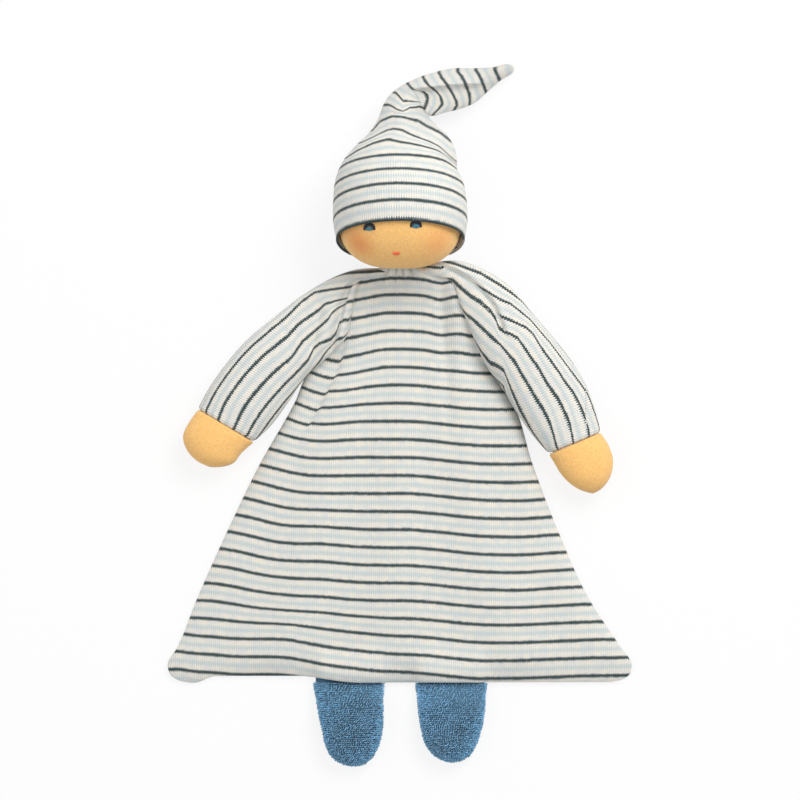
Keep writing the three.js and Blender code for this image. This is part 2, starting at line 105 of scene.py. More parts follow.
LEFT_HAND = (
    (99.8, -8.6, 74.2, -19.6, 10.6, 9.7, 0, 0),
    (103.6, -14.5, 76.8, -23.8, 10.6, 10.1, 0, 0),
    (106.1, -21.8, 80.2, -29.4, 10.4, 9.8, 0, 0),
    (105.3, -29.4, 84.8, -34.2, 10.0, 8.6, 0, 0),
    (102.0, -35.2, 90.0, -37.4, 9.4, 5.8, 0, 0),
    (98.8, -37.9, 93.6, -38.6, 9.2, 2.8, 0, 0),
    (96.4, -39.0, 96.2, -39.1, 9.2, 0.1, 0, 0),
)
RIGHT_FOOT = (
    (-43.0, -130.5, -8.0, -130.8, 2.9, 2.0, 0, 0),
    (-43.0, -134.5, -8.0, -135.0, 3.1, 2.3, 0, 0),
    (-42.0, -139.5, -8.4, -140.0, 5.0, 4.3, 0, 0),
    (-40.6, -148.0, -8.6, -148.5, 7.8, 6.8, 0, 0),
    (-38.7, -157.0, -9.0, -157.5, 8.0, 7.0, 0, 0),
    (-36.6, -165.5, -11.2, -165.8, 7.6, 6.5, 0, 0),
    (-33.4, -170.8, -14.4, -171.0, 6.8, 5.0, 0, 0),
    (-28.4, -173.7, -18.6, -173.8, 6.2, 2.6, 0, 0),
    (-23.6, -174.4, -23.0, -174.4, 6.0, 0.1, 0, 0),
)
LEFT_FOOT = (
    (43.0, -131.0, 8.0, -131.0, 2.9, 2.0, 0, 0),
    (43.2, -135.0, 8.0, -135.0, 3.1, 2.3, 0, 0),
    (42.6, -140.0, 8.6, -140.0, 5.0, 4.3, 0, 0),
    (42.0, -148.0, 9.4, -148.0, 7.8, 6.8, 0, 0),
    (40.4, -156.5, 10.6, -156.5, 8.0, 7.0, 0, 0),
    (37.8, -164.3, 13.2, -164.6, 7.6, 6.5, 0, 0),
    (34.6, -169.4, 17.2, -169.4, 6.8, 5.0, 0, 0),
    (30.4, -171.9, 22.0, -171.9, 6.2, 2.6, 0, 0),
    (26.4, -172.6, 25.8, -172.6, 6.0, 0.1, 0, 0),
)
# The hat's last column counts the stripes up from the brim.
HAT = (
    (-31.0, 87.0, 31.4, 87.2, 36.6, 26.2, 0.31, -0.20),
    (-32.9, 97.2, 33.2, 97.4, 34.0, 29.2, 0.31, 1.03),
    (-33.0, 107.0, 32.9, 107.0, 31.0, 30.2, 0.31, 2.29),
    (-31.9, 116.6, 31.0, 116.6, 28.0, 27.6, 0.31, 3.53),
    (-28.2, 125.2, 28.6, 125.2, 25.4, 24.4, 0.31, 4.64),
    (-22.2, 132.4, 27.0, 132.4, 23.2, 20.8, 0.30, 5.56),
    (-16.5, 138.2, 23.4, 138.2, 21.4, 16.6, 0.28, 6.26),
    (-12.8, 143.6, 18.6, 143.0, 19.8, 12.6, 0.24, 7.00),
    (-10.2, 148.8, 14.8, 147.2, 18.2, 10.0, 0.18, 7.55),
    (-8.4, 154.0, 14.4, 148.6, 16.8, 8.8, 0.10, 8.05),
    (-5.6, 158.6, 15.2, 148.8, 15.6, 8.2, 0, 8.60),
    (-1.2, 162.6, 17.4, 149.0, 14.4, 7.6, 0, 9.20),
    (6.2, 166.8, 21.8, 150.4, 12.8, 7.0, 0, 10.10),
    (15.2, 170.2, 29.4, 152.4, 11.0, 6.4, 0, 11.25),
    (26.0, 172.8, 37.2, 155.6, 9.2, 5.6, 0, 12.55),
    (36.8, 173.0, 43.8, 161.4, 7.2, 4.4, 0, 13.80),
    (46.6, 173.6, 50.2, 167.0, 5.2, 3.0, 0, 14.85),
    (53.4, 175.2, 56.6, 171.6, 3.8, 1.9, 0, 15.60),
    (55.8, 174.8, 57.0, 173.2, 3.4, 0.9, 0, 15.85),
)
# Stripes of the right sleeve over the shoulder, in plan, from the outermost to the armpit's.
RIGHT_SHOULDER_STRIPES = (
    ((-55, 60.5), (-42.5, 66.5), (-34.2, 68.6), (-27.5, 70.2), (-5, 71.2)),
    ((-55, 51.5), (-48.3, 56.5), (-42.5, 60.7), (-38.3, 61.5), (-25, 63.2), (-16.7, 64.8), (-5, 67.9)),
    ((-55, 42.3), (-46.7, 47.3), (-40.4, 51.5), (-37.1, 55.0), (-30, 56.9), (-5, 62.0)),
    ((-55, 29.0), (-50, 34.8), (-39.6, 43.6), (-35.8, 46.9), (-33.8, 50.7), (-30.8, 53.2),
     (-26.2, 55.7), (-5, 57.5)),
    ((-55, 17.0), (-45.8, 26.5), (-42.9, 32.7), (-40, 35.2), (-34.2, 36.9), (-31.7, 39.8), (-30, 45.7),
     (-5, 48.0)),
    ((-55, 6.0), (-42.5, 22.0), (-37, 31.0), (-31.7, 37.3), (-5, 39.0)),
)
# Stripes of the left sleeve, in plan, from its outer edge to the armpit, past its cuff at their ends.
LEFT_STRIPES = (
    ((6, 73.5), (12.5, 76), (18.5, 77), (27.5, 74.5), (40, 70), (50, 64), (60, 57), (72, 44),
     (90, 22.5), (99, 3)),
    ((5, 70.5), (20, 71.5), (26.5, 71.2), (40, 63), (50, 57), (55, 55), (65, 47), (75, 36), (85, 22.5),
     (94, 10.5),
     (98, 1.5), (104, -30)),
    ((5, 68.5), (20, 67.8), (26.5, 68.2), (42, 55.5), (49, 49), (57.5, 45.5), (62.5, 43.5), (66, 40.5),
     (71, 32),
     (78, 22.4), (82, 16), (86, 11), (88.4, 7), (90.8, 1.5), (92.4, -3.2), (93.8, -8.8), (100, -36)),
    ((5, 67), (20, 65.5), (24, 67), (26.5, 66), (35, 58.5), (40, 55.5), (45, 51), (47.5, 47.5), (49, 42.5),
     (51.5, 41), (55, 40), (58.5, 38), (65, 27.8), (69, 22.4), (72, 16.9), (75, 12), (78.5, 7.5), (81, 2.6),
     (83.6, -3), (84.9, -7.6), (85.6, -12), (95, -60)),
    ((20, 52), (31.5, 50), (35, 48), (45, 38.5), (50, 34.5), (57.5, 25), (59.6, 20.9), (63.1, 15), (66.6, 9),
     (70, 3.6), (73, -1.5), (75, -6.4), (76, -10.4), (77.2, -15.3), (84, -48)),
    ((35, 36), (45, 25), (48.5, 23.5), (51.5, 21.5), (55, 11), (59, 1.5), (70, -20), (85, -55)),
)
# Stripes at the hat's bend, in plan, from the tenth down to the fourth above the brim.
BEND_STRIPES = (
    ((-6, 167), (2, 166.5), (4, 165.5), (5.2, 163.6), (7, 161.6), (8.3, 159), (8.8, 157.5), (14, 156.8)),
    ((-9, 163.5), (-3.5, 161.1), (-2, 160.6), (0, 158.1), (1.5, 156.1), (3.5, 156), (9, 155.6), (14, 155.4)),
    ((-12, 155.2), (-8.5, 154.6), (-5, 154.1), (-1.5, 151.6), (1.5, 150.6), (5, 152.9), (9.9, 153.4),
     (14, 153)),
    ((-13.4, 141.2), (-9.9, 146), (-4, 148.4), (2.5, 147.7), (8.9, 146.5), (13.4, 143.3), (19.9, 140),
     (24.9, 136.2)),
    ((-18.8, 134.8), (-9.9, 139.1), (-6.4, 140.8), (-3, 141.5), (1, 140.7), (4.9, 138.8), (9.9, 136.8),
     (15.8, 134.4),
     (19.8, 132.1), (23.3, 129.3), (28.3, 125.5)),
    ((-26.2, 127.4), (-20.7, 131), (-13.8, 134.2), (-9.9, 135.4), (-5.9, 136.3), (0, 134.8),
     (4.9, 134.1), (9.9, 133.1),
     (18.3, 130.9), (23.3, 128), (28.3, 124.1)),
    ((-30.7, 120.8), (-23.7, 125), (-14.8, 127.6), (-4.9, 128.4), (4.9, 128.4), (14.8, 127.1),
     (19.7, 125.7), (27.2, 121.9)),
)
# Stripes of the tail, in plan as height then place across, from the ninth above the brim to the tip's.
TAIL_STRIPES = (
    ((147.7, 0), (152, 3), (157, 4.5), (161, 0), (165.5, -5.5)),
    ((147.7, 10.4), (151.6, 11.9), (154.6, 13.4), (157.6, 14.4), (159.6, 13.9), (161.1, 11.9),
     (161.6, 7), (163.6, 5.2),
     (165.5, 4)),
    ((148.2, 15.7), (151.1, 18.4), (153.1, 20.4), (155.1, 21.4), (158.6, 20.4), (161.6, 17.9), (162.6, 16.6),
     (163.6, 14.9), (165.5, 13.4), (168.3, 11.9)),
    ((150.1, 25.8), (152.1, 27.6), (154.1, 28.8), (156.6, 28.3), (160.6, 26.1), (164.8, 23.4),
     (167.5, 21.4), (170, 19.9)),
    ((152.6, 34.8), (157.6, 35.3), (160.6, 34.8), (165.5, 32.8), (168.5, 31.3), (171, 29.3)),
    ((159.1, 44), (161.6, 43.2), (164.1, 42.2), (167, 41), (169, 40), (171.8, 38.3)),
    ((165.5, 50.9), (168, 49.7), (170, 48.7), (172, 47.7)),
)
TAIL_CREASE = ((2, 161.6), (6, 162.1), (14.9, 163.1), (24.9, 164.3), (39.8, 165.1), (48, 166))
# The dress has left and right edge points, a level in the middle and one at its edges, front then back.
DRESS = (
    (-10.0, 73.4, 10.0, 73.6, 24.8, 19.0, 11.0, 14.0),
    (-20.6, 66.2, 26.6, 66.8, 19.8, 17.3, 6.6, 9.0),
    (-24.6, 53.0, 30.8, 56.2, 13.0, 15.0, 2.6, 5.0),
    (-28.0, 39.2, 34.6, 46.6, 10.4, 13.6, 0.8, 3.0),
    (-37.4, 28.8, 38.6, 35.4, 9.8, 10.8, 0.2, 2.0),
    (-45.5, 22.0, 45.0, 22.4, 9.6, 5.0, 0, 1.3),
    (-52.5, 6.5, 56.0, 6.6, 9.2, 2.6, 0, 1.1),
    (-70.0, -24.5, 66.2, -24.5, 8.4, 2.4, 0, 1.1),
    (-86.5, -58.5, 79.2, -58.5, 7.4, 2.4, 0, 1.1),
    (-101.5, -92.0, 94.5, -92.0, 6.4, 2.3, 0, 1.1),
    (-111.5, -116.5, 110.6, -116.5, 5.4, 2.3, 0, 1.1),
    (-116.0, -124.5, 115.8, -124.5, 4.9, 2.2, 0, 1.1),
    (-115.0, -129.4, 115.0, -129.2, 4.2, 2.1, 0, 1.1),
    (-111.0, -132.4, 111.2, -132.0, 3.2, 2.0, 0.2, 1.1),
    (-105.0, -133.8, 105.0, -133.4, 2.2, 1.8, 0.5, 1.1),
)

HEAD_CENTRE = np.array((0.0, 102.5, 32.4))
HEAD_RADII = np.array((31.4, 30.1, 29.3))
CHIN_SQUARENESS = 2.6
NECK_PIVOT = np.array((0.0, 74.73, 21.21))
NECK_TILT = math.radians(22)
SLEEVE_RING_RATIO = 0.65
TUBE_SEAM = -2.75
SLEEVE_ROUNDNESS = 0.9
HAND_ROUNDNESS = 0.92
FOOT_ROUNDNESS = 0.95

# Millimetres inside a tube's outer surface, and where on the feet the loops begin.
ARM_FILLING_INSET = 2.4
FOOT_FILLING_INSET = 2.6
FOOT_BAG_INSET = 0.9
LOOP_INSET = 0.6
LOOPS_FROM = -134.0

# The dress's rib and stripe pitch, the height of its third stripe, and where its gathers fan out from.
RIB = 0.95
DRESS_PITCH = 9.005
THIRD_STRIPE = 42.55
GATHERS_FROM = 84

# Each cheek's place and spread, in millimetres, and how much blush it has.
CHEEKS = ((-21.0, 84.0, 50.0, 13.0, 0.62), (18.5, 85.5, 51.0, 14.0, 0.36))
# Each eye's place in plan and the half height of its iris, in millimetres.
EYES = (("right", -15.0, 92.5, 1.05), ("left", 7.8, 93.8, 1.35))
LASH_STITCHES = 13
MOUTH_HEIGHT = 79.5

# Half the thickness of the neck's threads, in millimetres, and how often one is wound round the neck.
THREAD_HALF = 0.35
BINDING_TURNS = 3

# Room for the hat above the head's skin, and for its turned edge beneath it, in millimetres.
HAT_ROOM = 1.0
TURNED_EDGE_ROOM = 0.9

# Length in metres: the hat's cloth.
HAT_THICKNESS = 0.0007

# The stage: lengths in metres but for the camera's sensor, and the floor's grey and its share of even glow.
FLOOR_SIZE = 8.0
PICTURE_MIDDLE = 0.0075
SENSOR = 36.0
FLOOR_GREY = (0.86, 0.86, 0.86, 1)
FLOOR_GLOW = 0.84
WHITE = (1.0, 1.0, 1.0, 1)

# Swelling of the stuffed sleeves and hands, with lengths in metres.
EVEN_FACE = 0.004
CARRY_SPREAD = 0.003
MOST_SWELL = 0.0006
HELD_AT_SHOULDER = 0.008
HELD_AT_CUFF = 0.004
PRESSURE = 4.0
STIFFNESS = 0.02
SWELL_STEPS = 20


def length_setting(name, description, default):
    return FloatProperty(name=name, description=description, default=default, unit="LENGTH")


def colour_setting(name, description, default):
    return FloatVectorProperty(name=name, description=description, default=default, subtype="COLOR")


class ClothSettings(PropertyGroup):
    """Sizes and colours of the striped rib jersey."""

    thickness: length_setting("Jersey thickness", "Thickness of the striped jersey", 0.0011)
    pitch: length_setting("Stripe pitch", "Distance from one dark stripe to the next on the dress", 0.009)
    dark_width: length_setting("Dark stripe", "Width of a dark stripe", 0.00175)
    pale_width: length_setting("Pale stripe", "Width of a pale blue stripe", 0.0022)
    ecru: colour_setting("Ground", "Undyed ground of the jersey", (0.83, 0.785, 0.70))
    dark: colour_setting("Dark stripe colour", "Dark teal stripe", (0.045, 0.073, 0.076))
    pale: colour_setting("Pale stripe colour", "Pale blue stripe", (0.56, 0.635, 0.64))


class DollSettings(PropertyGroup):
    """Sizes and colours of the stuffed parts, and the height of the dress's folds."""

    skin: colour_setting("Skin jersey", "Colour of the head and the hands", (0.98, 0.59, 0.205))
    blush: colour_setting("Blush", "Colour rubbed into the cheeks", (0.80, 0.22, 0.06))
    terry: colour_setting("Terry", "Colour of the feet", (0.135, 0.305, 0.46))
    loop_height: length_setting("Terry loop", "Height of the loops of the terry pile", 0.0013)
    loop_rows: IntProperty(
        name="Loop rows",
        description="Rows of terry loops from hem to toe",
        default=50,
        min=4,
    )
    fold_height: length_setting("Fold height", "Height of the broad folds of the dress", 0.0019)


class StageSettings(PropertyGroup):
    """Camera and lamps."""

    camera_height: length_setting("Camera height", "Height of the camera above the floor", 3.0)
    field: length_setting("Field", "Width of the floor that the picture shows", 0.4)
    key_power: FloatProperty(
        name="Key lamp",
        description="Power of the soft key lamp",
        default=13.5,
        unit="POWER",
    )
    world_strength: FloatProperty(
        name="Sky",
        description="Strength of the even light from all round",
        default=0.57,
    )


# Shaping


def soft_step(low, high, value):
    share = np.clip((value - low) / (high - low), 0, 1)
    return share * share * (3 - 2 * share)


def bump(centre, spread, value):
    return np.exp(-(((value - centre) / spread) ** 2))


def within(start, full, fading, end, value):
    """Rises from nothing at start to one at full, and falls back from fading to end."""
    return soft_step(start, full, value) * soft_step(-end, -fading, -value)


def ring_angle(across):
    """Angle round a tube's ring at a share of the way across its cloth."""
    return 2 * np.pi * across + TUBE_SEAM


def ring_share(angle):
    return (angle - TUBE_SEAM) / (2 * np.pi)


def through(stations, along):
    """Smooth values at a share of the way along a list of stations."""
    table = np.array(stations, float)
    gaps = np.diff(table, axis=0)
    steps = np.hypot(gaps[:, 0], gaps[:, 1]) + np.hypot(gaps[:, 2], gaps[:, 3])
    knots = np.concatenate(([0], np.cumsum(steps)))
    place = np.clip(along, 0, 1) * knots[-1]
    first = np.clip(np.searchsorted(knots, place, side="right") - 1, 0, len(knots) - 2)
    slopes = np.gradient(table, knots, axis=0)
    span = (knots[first + 1] - knots[first])[:, None]
    share = (place - knots[first])[:, None] / span
    left = 1 - share
    value = left**2 * (1 + 2 * share) * table[first]
    value += share**2 * (1 + 2 * left) * table[first + 1]
    value += share * left * span * (left * slopes[first] - share * slopes[first + 1])
    return value.T


def tube(stations, across, along, inset=0.0, roundness=1.0):
    """Points of a stuffed tube. Across runs round each ring, along runs through the stations."""
    outer_x, outer_y, inner_x, inner_y, level, half, lean, seam = through(stations, along)
    angle = ring_angle(across)
    side, rise = np.cos(angle), np.sin(angle)
    side = np.sign(side) * np.abs(side) ** roundness
    rise = np.sign(rise) * np.abs(rise) ** roundness
    sewn = soft_step(0.1, 1.0, -side) * seam
    rise = rise + np.sign(np.sin(angle)) * sewn * (1 - np.abs(rise))
    half_x, half_y = (outer_x - inner_x) / 2, (outer_y - inner_y) / 2
    width = np.maximum(np.hypot(half_x, half_y), 1e-6)
    reach = np.maximum(width - inset, 0.02) / width
    up = np.maximum(half - inset, 0.02) * rise
    x = (outer_x + inner_x) / 2 + half_x * reach * side + lean * up * half_y / width
    y = (outer_y + inner_y) / 2 + half_y * reach * side - lean * up * half_x / width
    return np.stack((x, y, level + up), axis=-1)


def middle_of(stations, along):
    """Points along the middle of a tube."""
    outer_x, outer_y, inner_x, inner_y, level, *_ = through(stations, along)
    return np.stack(((outer_x + inner_x) / 2, (outer_y + inner_y) / 2, level), axis=-1)


def ring_length(angle):
    """Length round a flattened ring of unit half width, from its outer edge."""
    fine = np.linspace(-2 * np.pi, 2 * np.pi, 1441)
    speed = np.hypot(np.sin(fine), SLEEVE_RING_RATIO * np.cos(fine))
    total = np.cumsum(speed) * (fine[1] - fine[0])
    return np.interp(angle, fine, total - total[720])


def deselect_all():
    if bpy.context.object and bpy.context.object.mode != "OBJECT":
        bpy.ops.object.mode_set(mode="OBJECT")
    bpy.ops.object.select_all(action="DESELECT")


def activate(piece):
    deselect_all()
    piece.select_set(True)
    bpy.context.view_layer.objects.active = piece


def points_of(piece):
    flat = np.empty(len(piece.data.vertices) * 3)
    piece.data.vertices.foreach_get("co", flat)
    return flat.reshape(-1, 3)


def move_points(piece, points):
    piece.data.vertices.foreach_set("co", np.asarray(points, float).ravel())
    piece.data.update()


def shaped_grid(name, columns, rows, shape, weave):
    """Grid whose points, in millimetres, and weave are functions of its own across and along."""
    deselect_all()
    bpy.ops.mesh.primitive_grid_add(x_subdivisions=columns, y_subdivisions=rows, size=1.0)
    piece = bpy.context.object
    piece.name = piece.data.name = name
    across, along = (points_of(piece)[:, :2] + 0.5).T
    move_points(piece, shape(across, along) * MM)
    corners = np.empty(len(piece.data.loops), int)
    piece.data.loops.foreach_get("vertex_index", corners)
    layer = piece.data.uv_layers.active
    layer.name = WEAVE
    cloth = np.stack(weave(across[corners], along[corners]), axis=-1)
    layer.uv.foreach_set("vector", cloth.astype(np.float32).ravel())
    return piece


def of_faces(values):
    """Mean over each face of values at its four corners."""
    return np.repeat(values.reshape(-1, 4).mean(axis=1), 4)


def close_up(piece, fill=True):
    """Joins the first column to the last, fills the ends and turns the faces outwards."""
    activate(piece)
    bpy.ops.object.mode_set(mode="EDIT")
    bpy.ops.mesh.select_all(action="SELECT")
    bpy.ops.mesh.remove_doubles(threshold=0.00003)
    if fill:
        bpy.ops.mesh.fill_holes(sides=0)
    bpy.ops.mesh.select_all(action="SELECT")
    bpy.ops.mesh.normals_make_consistent(inside=False)
    bpy.ops.object.mode_set(mode="OBJECT")
    bpy.ops.object.shade_smooth()
    return piece


def face_up(piece, up):
    """Turns a sheet's faces so that they point up, or down."""
    activate(piece)
    total = sum(face.normal.z * face.area for face in piece.data.polygons)
    if (total > 0) != up:
        bpy.ops.object.mode_set(mode="EDIT")
        bpy.ops.mesh.select_all(action="SELECT")
        bpy.ops.mesh.flip_normals()
        bpy.ops.object.mode_set(mode="OBJECT")
    bpy.ops.object.shade_smooth()
    return piece


def thicken(piece, thickness, offset):
    activate(piece)
    solid = piece.modifiers.new("Cloth", "SOLIDIFY")
    solid.thickness = thickness
    solid.offset = offset
    bpy.ops.object.modifier_apply(modifier=solid.name)
    return piece


def fill_out(piece, sewn):
    """Swells a stuffed cloth under its filling, held where it is sewn.

    The cloth simulation runs on an even copy, and its moves are carried over to the piece.
    """
    copy = piece.copy()
    copy.data = piece.data.copy()
    bpy.context.scene.collection.objects.link(copy)
    activate(copy)
    even = copy.modifiers.new("Even", "REMESH")
    even.mode = "VOXEL"
    even.voxel_size = EVEN_FACE
    bpy.ops.object.modifier_apply(modifier=even.name)
    before = points_of(copy)
    held = copy.vertex_groups.new(name="sewn")
    held.add([int(index) for index in np.flatnonzero(sewn(before / MM))], 1.0, "REPLACE")
    swell = copy.modifiers.new("Filling", "CLOTH")
    swell.settings.vertex_group_mass = held.name
    swell.settings.use_pressure = True
    swell.settings.uniform_pressure_force = PRESSURE
    swell.settings.tension_stiffness = STIFFNESS
    swell.settings.compression_stiffness = STIFFNESS
    swell.settings.shear_stiffness = STIFFNESS
    swell.settings.bending_stiffness = STIFFNESS
    swell.settings.effector_weights.gravity = 0.0
    swell.point_cache.frame_end = SWELL_STEPS
    for step in range(1, SWELL_STEPS + 1):
        bpy.context.scene.frame_set(step)
    bpy.ops.object.modifier_apply(modifier=swell.name)
    bpy.context.scene.frame_set(1)
    moved = points_of(copy) - before
    bpy.data.objects.remove(copy)
    points = points_of(piece)
    carried = np.zeros_like(points)
    for part in np.array_split(np.arange(len(points)), 20):
        apart = ((points[part, None] - before[None]) ** 2).sum(axis=2)
        share = np.exp(-apart / (2 * CARRY_SPREAD**2)) + 1e-12
        carried[part] = (share @ moved) / share.sum(axis=1)[:, None]
    far = np.maximum(np.linalg.norm(carried, axis=1), 1e-9)
    move_points(piece, points + carried * (MOST_SWELL * np.tanh(far / MOST_SWELL) / far)[:, None])


def join(pieces, name):
    activate(pieces[0])
    for piece in pieces:
        piece.select_set(True)
    bpy.ops.object.join()
    joined = bpy.context.object
    joined.name = joined.data.name = name
    return joined


def dress_in(piece, material):
    piece.data.materials.clear()
    piece.data.materials.append(material)
    return piece


# Finishes


def finish(name, colour, roughness, sheen):
    """A finish and its shader, or no shader where the finish is already made."""
    material = bpy.data.materials.get(name)
    if material:
        return material, None
    material = bpy.data.materials.new(name)
    material.use_nodes = True
    shader = material.node_tree.nodes["Principled BSDF"]
    shader.inputs["Base Color"].default_value = (*colour, 1)
    shader.inputs["Roughness"].default_value = roughness
    shader.inputs["Specular IOR Level"].default_value = 0.25
    shader.inputs["Sheen Weight"].default_value = sheen
    shader.inputs["Sheen Roughness"].default_value = 0.55
    return material, shader


def number(tree, operation, *values):
    """Maths node of the given values, which are numbers or sockets."""
    node = tree.nodes.new("ShaderNodeMath")
    node.operation = operation
    for socket, value in zip(node.inputs, values):
        if isinstance(value, (int, float)):
            socket.default_value = value
        else:
            tree.links.new(value, socket)
    return node.outputs[0]


def ramp(tree, value, low, high, to_low=0.0, to_high=1.0):
    node = tree.nodes.new("ShaderNodeMapRange")
    node.interpolation_type = "SMOOTHSTEP"
    tree.links.new(value, node.inputs["Value"])
    node.inputs["From Min"].default_value = low
    node.inputs["From Max"].default_value = high
    node.inputs["To Min"].default_value = to_low
    node.inputs["To Max"].default_value = to_high
    return node.outputs["Result"]


def blended(tree, factor, first, second, kind="MIX"):
    """Colour mixed from two, which are colours or sockets."""
    node = tree.nodes.new("ShaderNodeMix")
    node.data_type = "RGBA"
    node.blend_type = kind
    for socket, value in zip((node.inputs[0], node.inputs[6], node.inputs[7]), (factor, first, second)):
        if isinstance(value, bpy.types.NodeSocket):
            tree.links.new(value, socket)
        else:
            socket.default_value = value if isinstance(value, (int, float)) else (*value, 1)
    return node.outputs[2]


def speckle(tree, size, detail=2.0):
    """Noise with spots of the given size in metres, on Object coordinates."""
    place = tree.nodes.new("ShaderNodeTexCoord")
    noise = tree.nodes.new("ShaderNodeTexNoise")
    noise.inputs["Scale"].default_value = 1 / size
    noise.inputs["Detail"].default_value = detail
    tree.links.new(place.outputs["Object"], noise.inputs["Vector"])
    return noise.outputs[0]


def raised(tree, shader, height, depth, strength=1.0):
    node = tree.nodes.new("ShaderNodeBump")
    node.inputs["Strength"].default_value = strength
    node.inputs["Distance"].default_value = depth
    tree.links.new(height, node.inputs["Height"])
    tree.links.new(node.outputs["Normal"], shader.inputs["Normal"])


def weave_of(tree):
    """Ribs counted across the cloth, and stripes counted along it."""
    chart = tree.nodes.new("ShaderNodeUVMap")
    chart.uv_map = WEAVE
    split = tree.nodes.new("ShaderNodeSeparateXYZ")
    tree.links.new(chart.outputs["UV"], split.inputs[0])
    return split.outputs[0], split.outputs[1]


def paint(tree, shader, colour):
    tree.links.new(colour, shader.inputs["Base Color"])


def paint_with_groove_shade(tree, shader, colour, groove):
    """Colours a jersey, with painted shade in the grooves between its ribs."""
    shade = tree.nodes.new("ShaderNodeCombineColor")
    for socket in shade.inputs:
        tree.links.new(groove, socket)
    paint(tree, shader, blended(tree, 1.0, colour, shade.outputs[0], "MULTIPLY"))


def striped_jersey(cloth):
    """Rib jersey: dark stripes with toothed edges, soft pale stripes between them, on an ecru ground."""
    material, shader = finish("Striped jersey", cloth.ecru, 0.93, 0.12)
    if shader is None:
        return material
    tree = material.node_tree
    rib, stripe = weave_of(tree)
    tooth = number(tree, "PINGPONG", rib, 0.5)
    toothed = number(tree, "MULTIPLY_ADD", tooth, 0.20, stripe)
    wander = number(tree, "MULTIPLY_ADD", speckle(tree, 0.012), 0.05, toothed)
    wander = number(tree, "MULTIPLY_ADD", speckle(tree, 0.0014), 0.12, wander)
    wander = number(tree, "SUBTRACT", wander, 0.085)
    to_dark = number(tree, "PINGPONG", wander, 0.5)
    to_pale = number(tree, "SUBTRACT", 0.5, to_dark)
    dark_half = cloth.dark_width / cloth.pitch / 2
    pale_half = cloth.pale_width / cloth.pitch / 2
    dark = ramp(tree, to_dark, dark_half - 0.018, dark_half + 0.018, 1.0, 0.0)
    pale = ramp(tree, to_pale, pale_half - 0.07, pale_half + 0.06, 0.78, 0.0)
    ground = blended(tree, ramp(tree, speckle(tree, 0.004), 0.35, 0.65), cloth.ecru, (0.74, 0.735, 0.70))
    striped = blended(tree, pale, ground, cloth.pale)
    striped = blended(tree, dark, striped, cloth.dark)
    # Painted shade darkens the grooves between the ribs.
    paint_with_groove_shade(tree, shader, striped, ramp(tree, tooth, 0.0, 0.3, 0.80, 1.0))
    course = number(tree, "PINGPONG", number(tree, "MULTIPLY", stripe, 9.0), 0.5)
    height = number(tree, "MULTIPLY_ADD", course, 0.35, tooth)
    height = number(tree, "MULTIPLY_ADD", speckle(tree, 0.0009), 0.25, height)
    raised(tree, shader, height, 0.0005, 0.6)
    return material


def skin_jersey(doll):
    """Fine plain jersey with a soft blush on each cheek."""
    material, shader = finish("Skin jersey", doll.skin, 0.86, 0.18)
    if shader is None:
        return material
    tree = material.node_tree
    rib, course = weave_of(tree)
    place = tree.nodes.new("ShaderNodeTexCoord")
    colour = blended(tree, ramp(tree, speckle(tree, 0.0011), 0.32, 0.68), doll.skin, (0.90, 0.51, 0.175))
    for x, y, z, spread, amount in CHEEKS:
        away = tree.nodes.new("ShaderNodeVectorMath")
        away.operation = "DISTANCE"
        tree.links.new(place.outputs["Object"], away.inputs[0])
        away.inputs[1].default_value = (x * MM, y * MM, z * MM)
        near = ramp(tree, away.outputs["Value"], 0.0, spread * MM, amount, 0.0)
        colour = blended(tree, near, colour, doll.blush)
    tooth = number(tree, "PINGPONG", rib, 0.5)
    stitch = number(tree, "PINGPONG", course, 0.5)
    # Painted shade darkens the grooves between the ribs.
    paint_with_groove_shade(tree, shader, colour, ramp(tree, tooth, 0.0, 0.35, 0.90, 1.0))
    height = number(tree, "MULTIPLY_ADD", stitch, 0.5, tooth)
    raised(tree, shader, height, 0.0003, 0.5)
    return material


def terry(doll):
    """Looped pile: each loop has its own tone, with painted shade towards its root and on the bag between
    the loops.
    """
    material, shader = finish("Blue terry", doll.terry, 1.0, 0.35)
    if shader is None:
        return material
    tree = material.node_tree
    light = tuple(min(1.0, 1.85 * part) for part in doll.terry)
    # Deep is the colour of the painted shade at the roots of the loops.
    deep = tuple(0.30 * part for part in doll.terry)
    shade, height = weave_of(tree)
    loops = blended(tree, shade, doll.terry, light)
    root_shaded = blended(tree, ramp(tree, height, 0.1, 0.8), deep, loops)
    worn = ramp(tree, speckle(tree, 0.014), 0.3, 0.7, 0.0, 0.2)
    paint(tree, shader, blended(tree, worn, root_shaded, light))
    raised(tree, shader, speckle(tree, 0.0005, 3.0), 0.0003, 0.6)
    return material


def fleece(name, colour):
    """Carded wool and loose cotton: soft, with drifting fibres."""
    material, shader = finish(name, colour, 1.0, 0.3)
    if shader is None:
        return material
    tree = material.node_tree
    deep = tuple(0.82 * part for part in colour)
    fibres = speckle(tree, 0.0016, 6.0)
    paint(tree, shader, blended(tree, ramp(tree, fibres, 0.3, 0.7), deep, colour))
    raised(tree, shader, fibres, 0.001, 0.8)
    return material


def raw_wool():
    return fleece("Raw wool", (0.80, 0.74, 0.62))


def floss(name, colour):
    """Embroidery thread with a soft lustre, and paler patches painted along its strands as highlights."""
    material, shader = finish(name, colour, 0.55, 0.2)
    if shader is None:
        return material
    tree = material.node_tree
    # Light is the paler colour of the highlights painted along the strands.
    light = tuple(min(1.0, 1.5 * part + 0.01) for part in colour)
    strands = speckle(tree, 0.0005, 3.0)
    paint(tree, shader, blended(tree, ramp(tree, strands, 0.35, 0.65), colour, light))
    raised(tree, shader, strands, 0.0002, 0.5)
    return material


# Dress


def fold_line(y):
    """Place of the fold that runs down from the right armhole."""
    return np.interp(y, (-14, -4, 4, 12, 21, 29, 40), (-51, -44.5, -39.5, -36, -31, -28.6, -26))


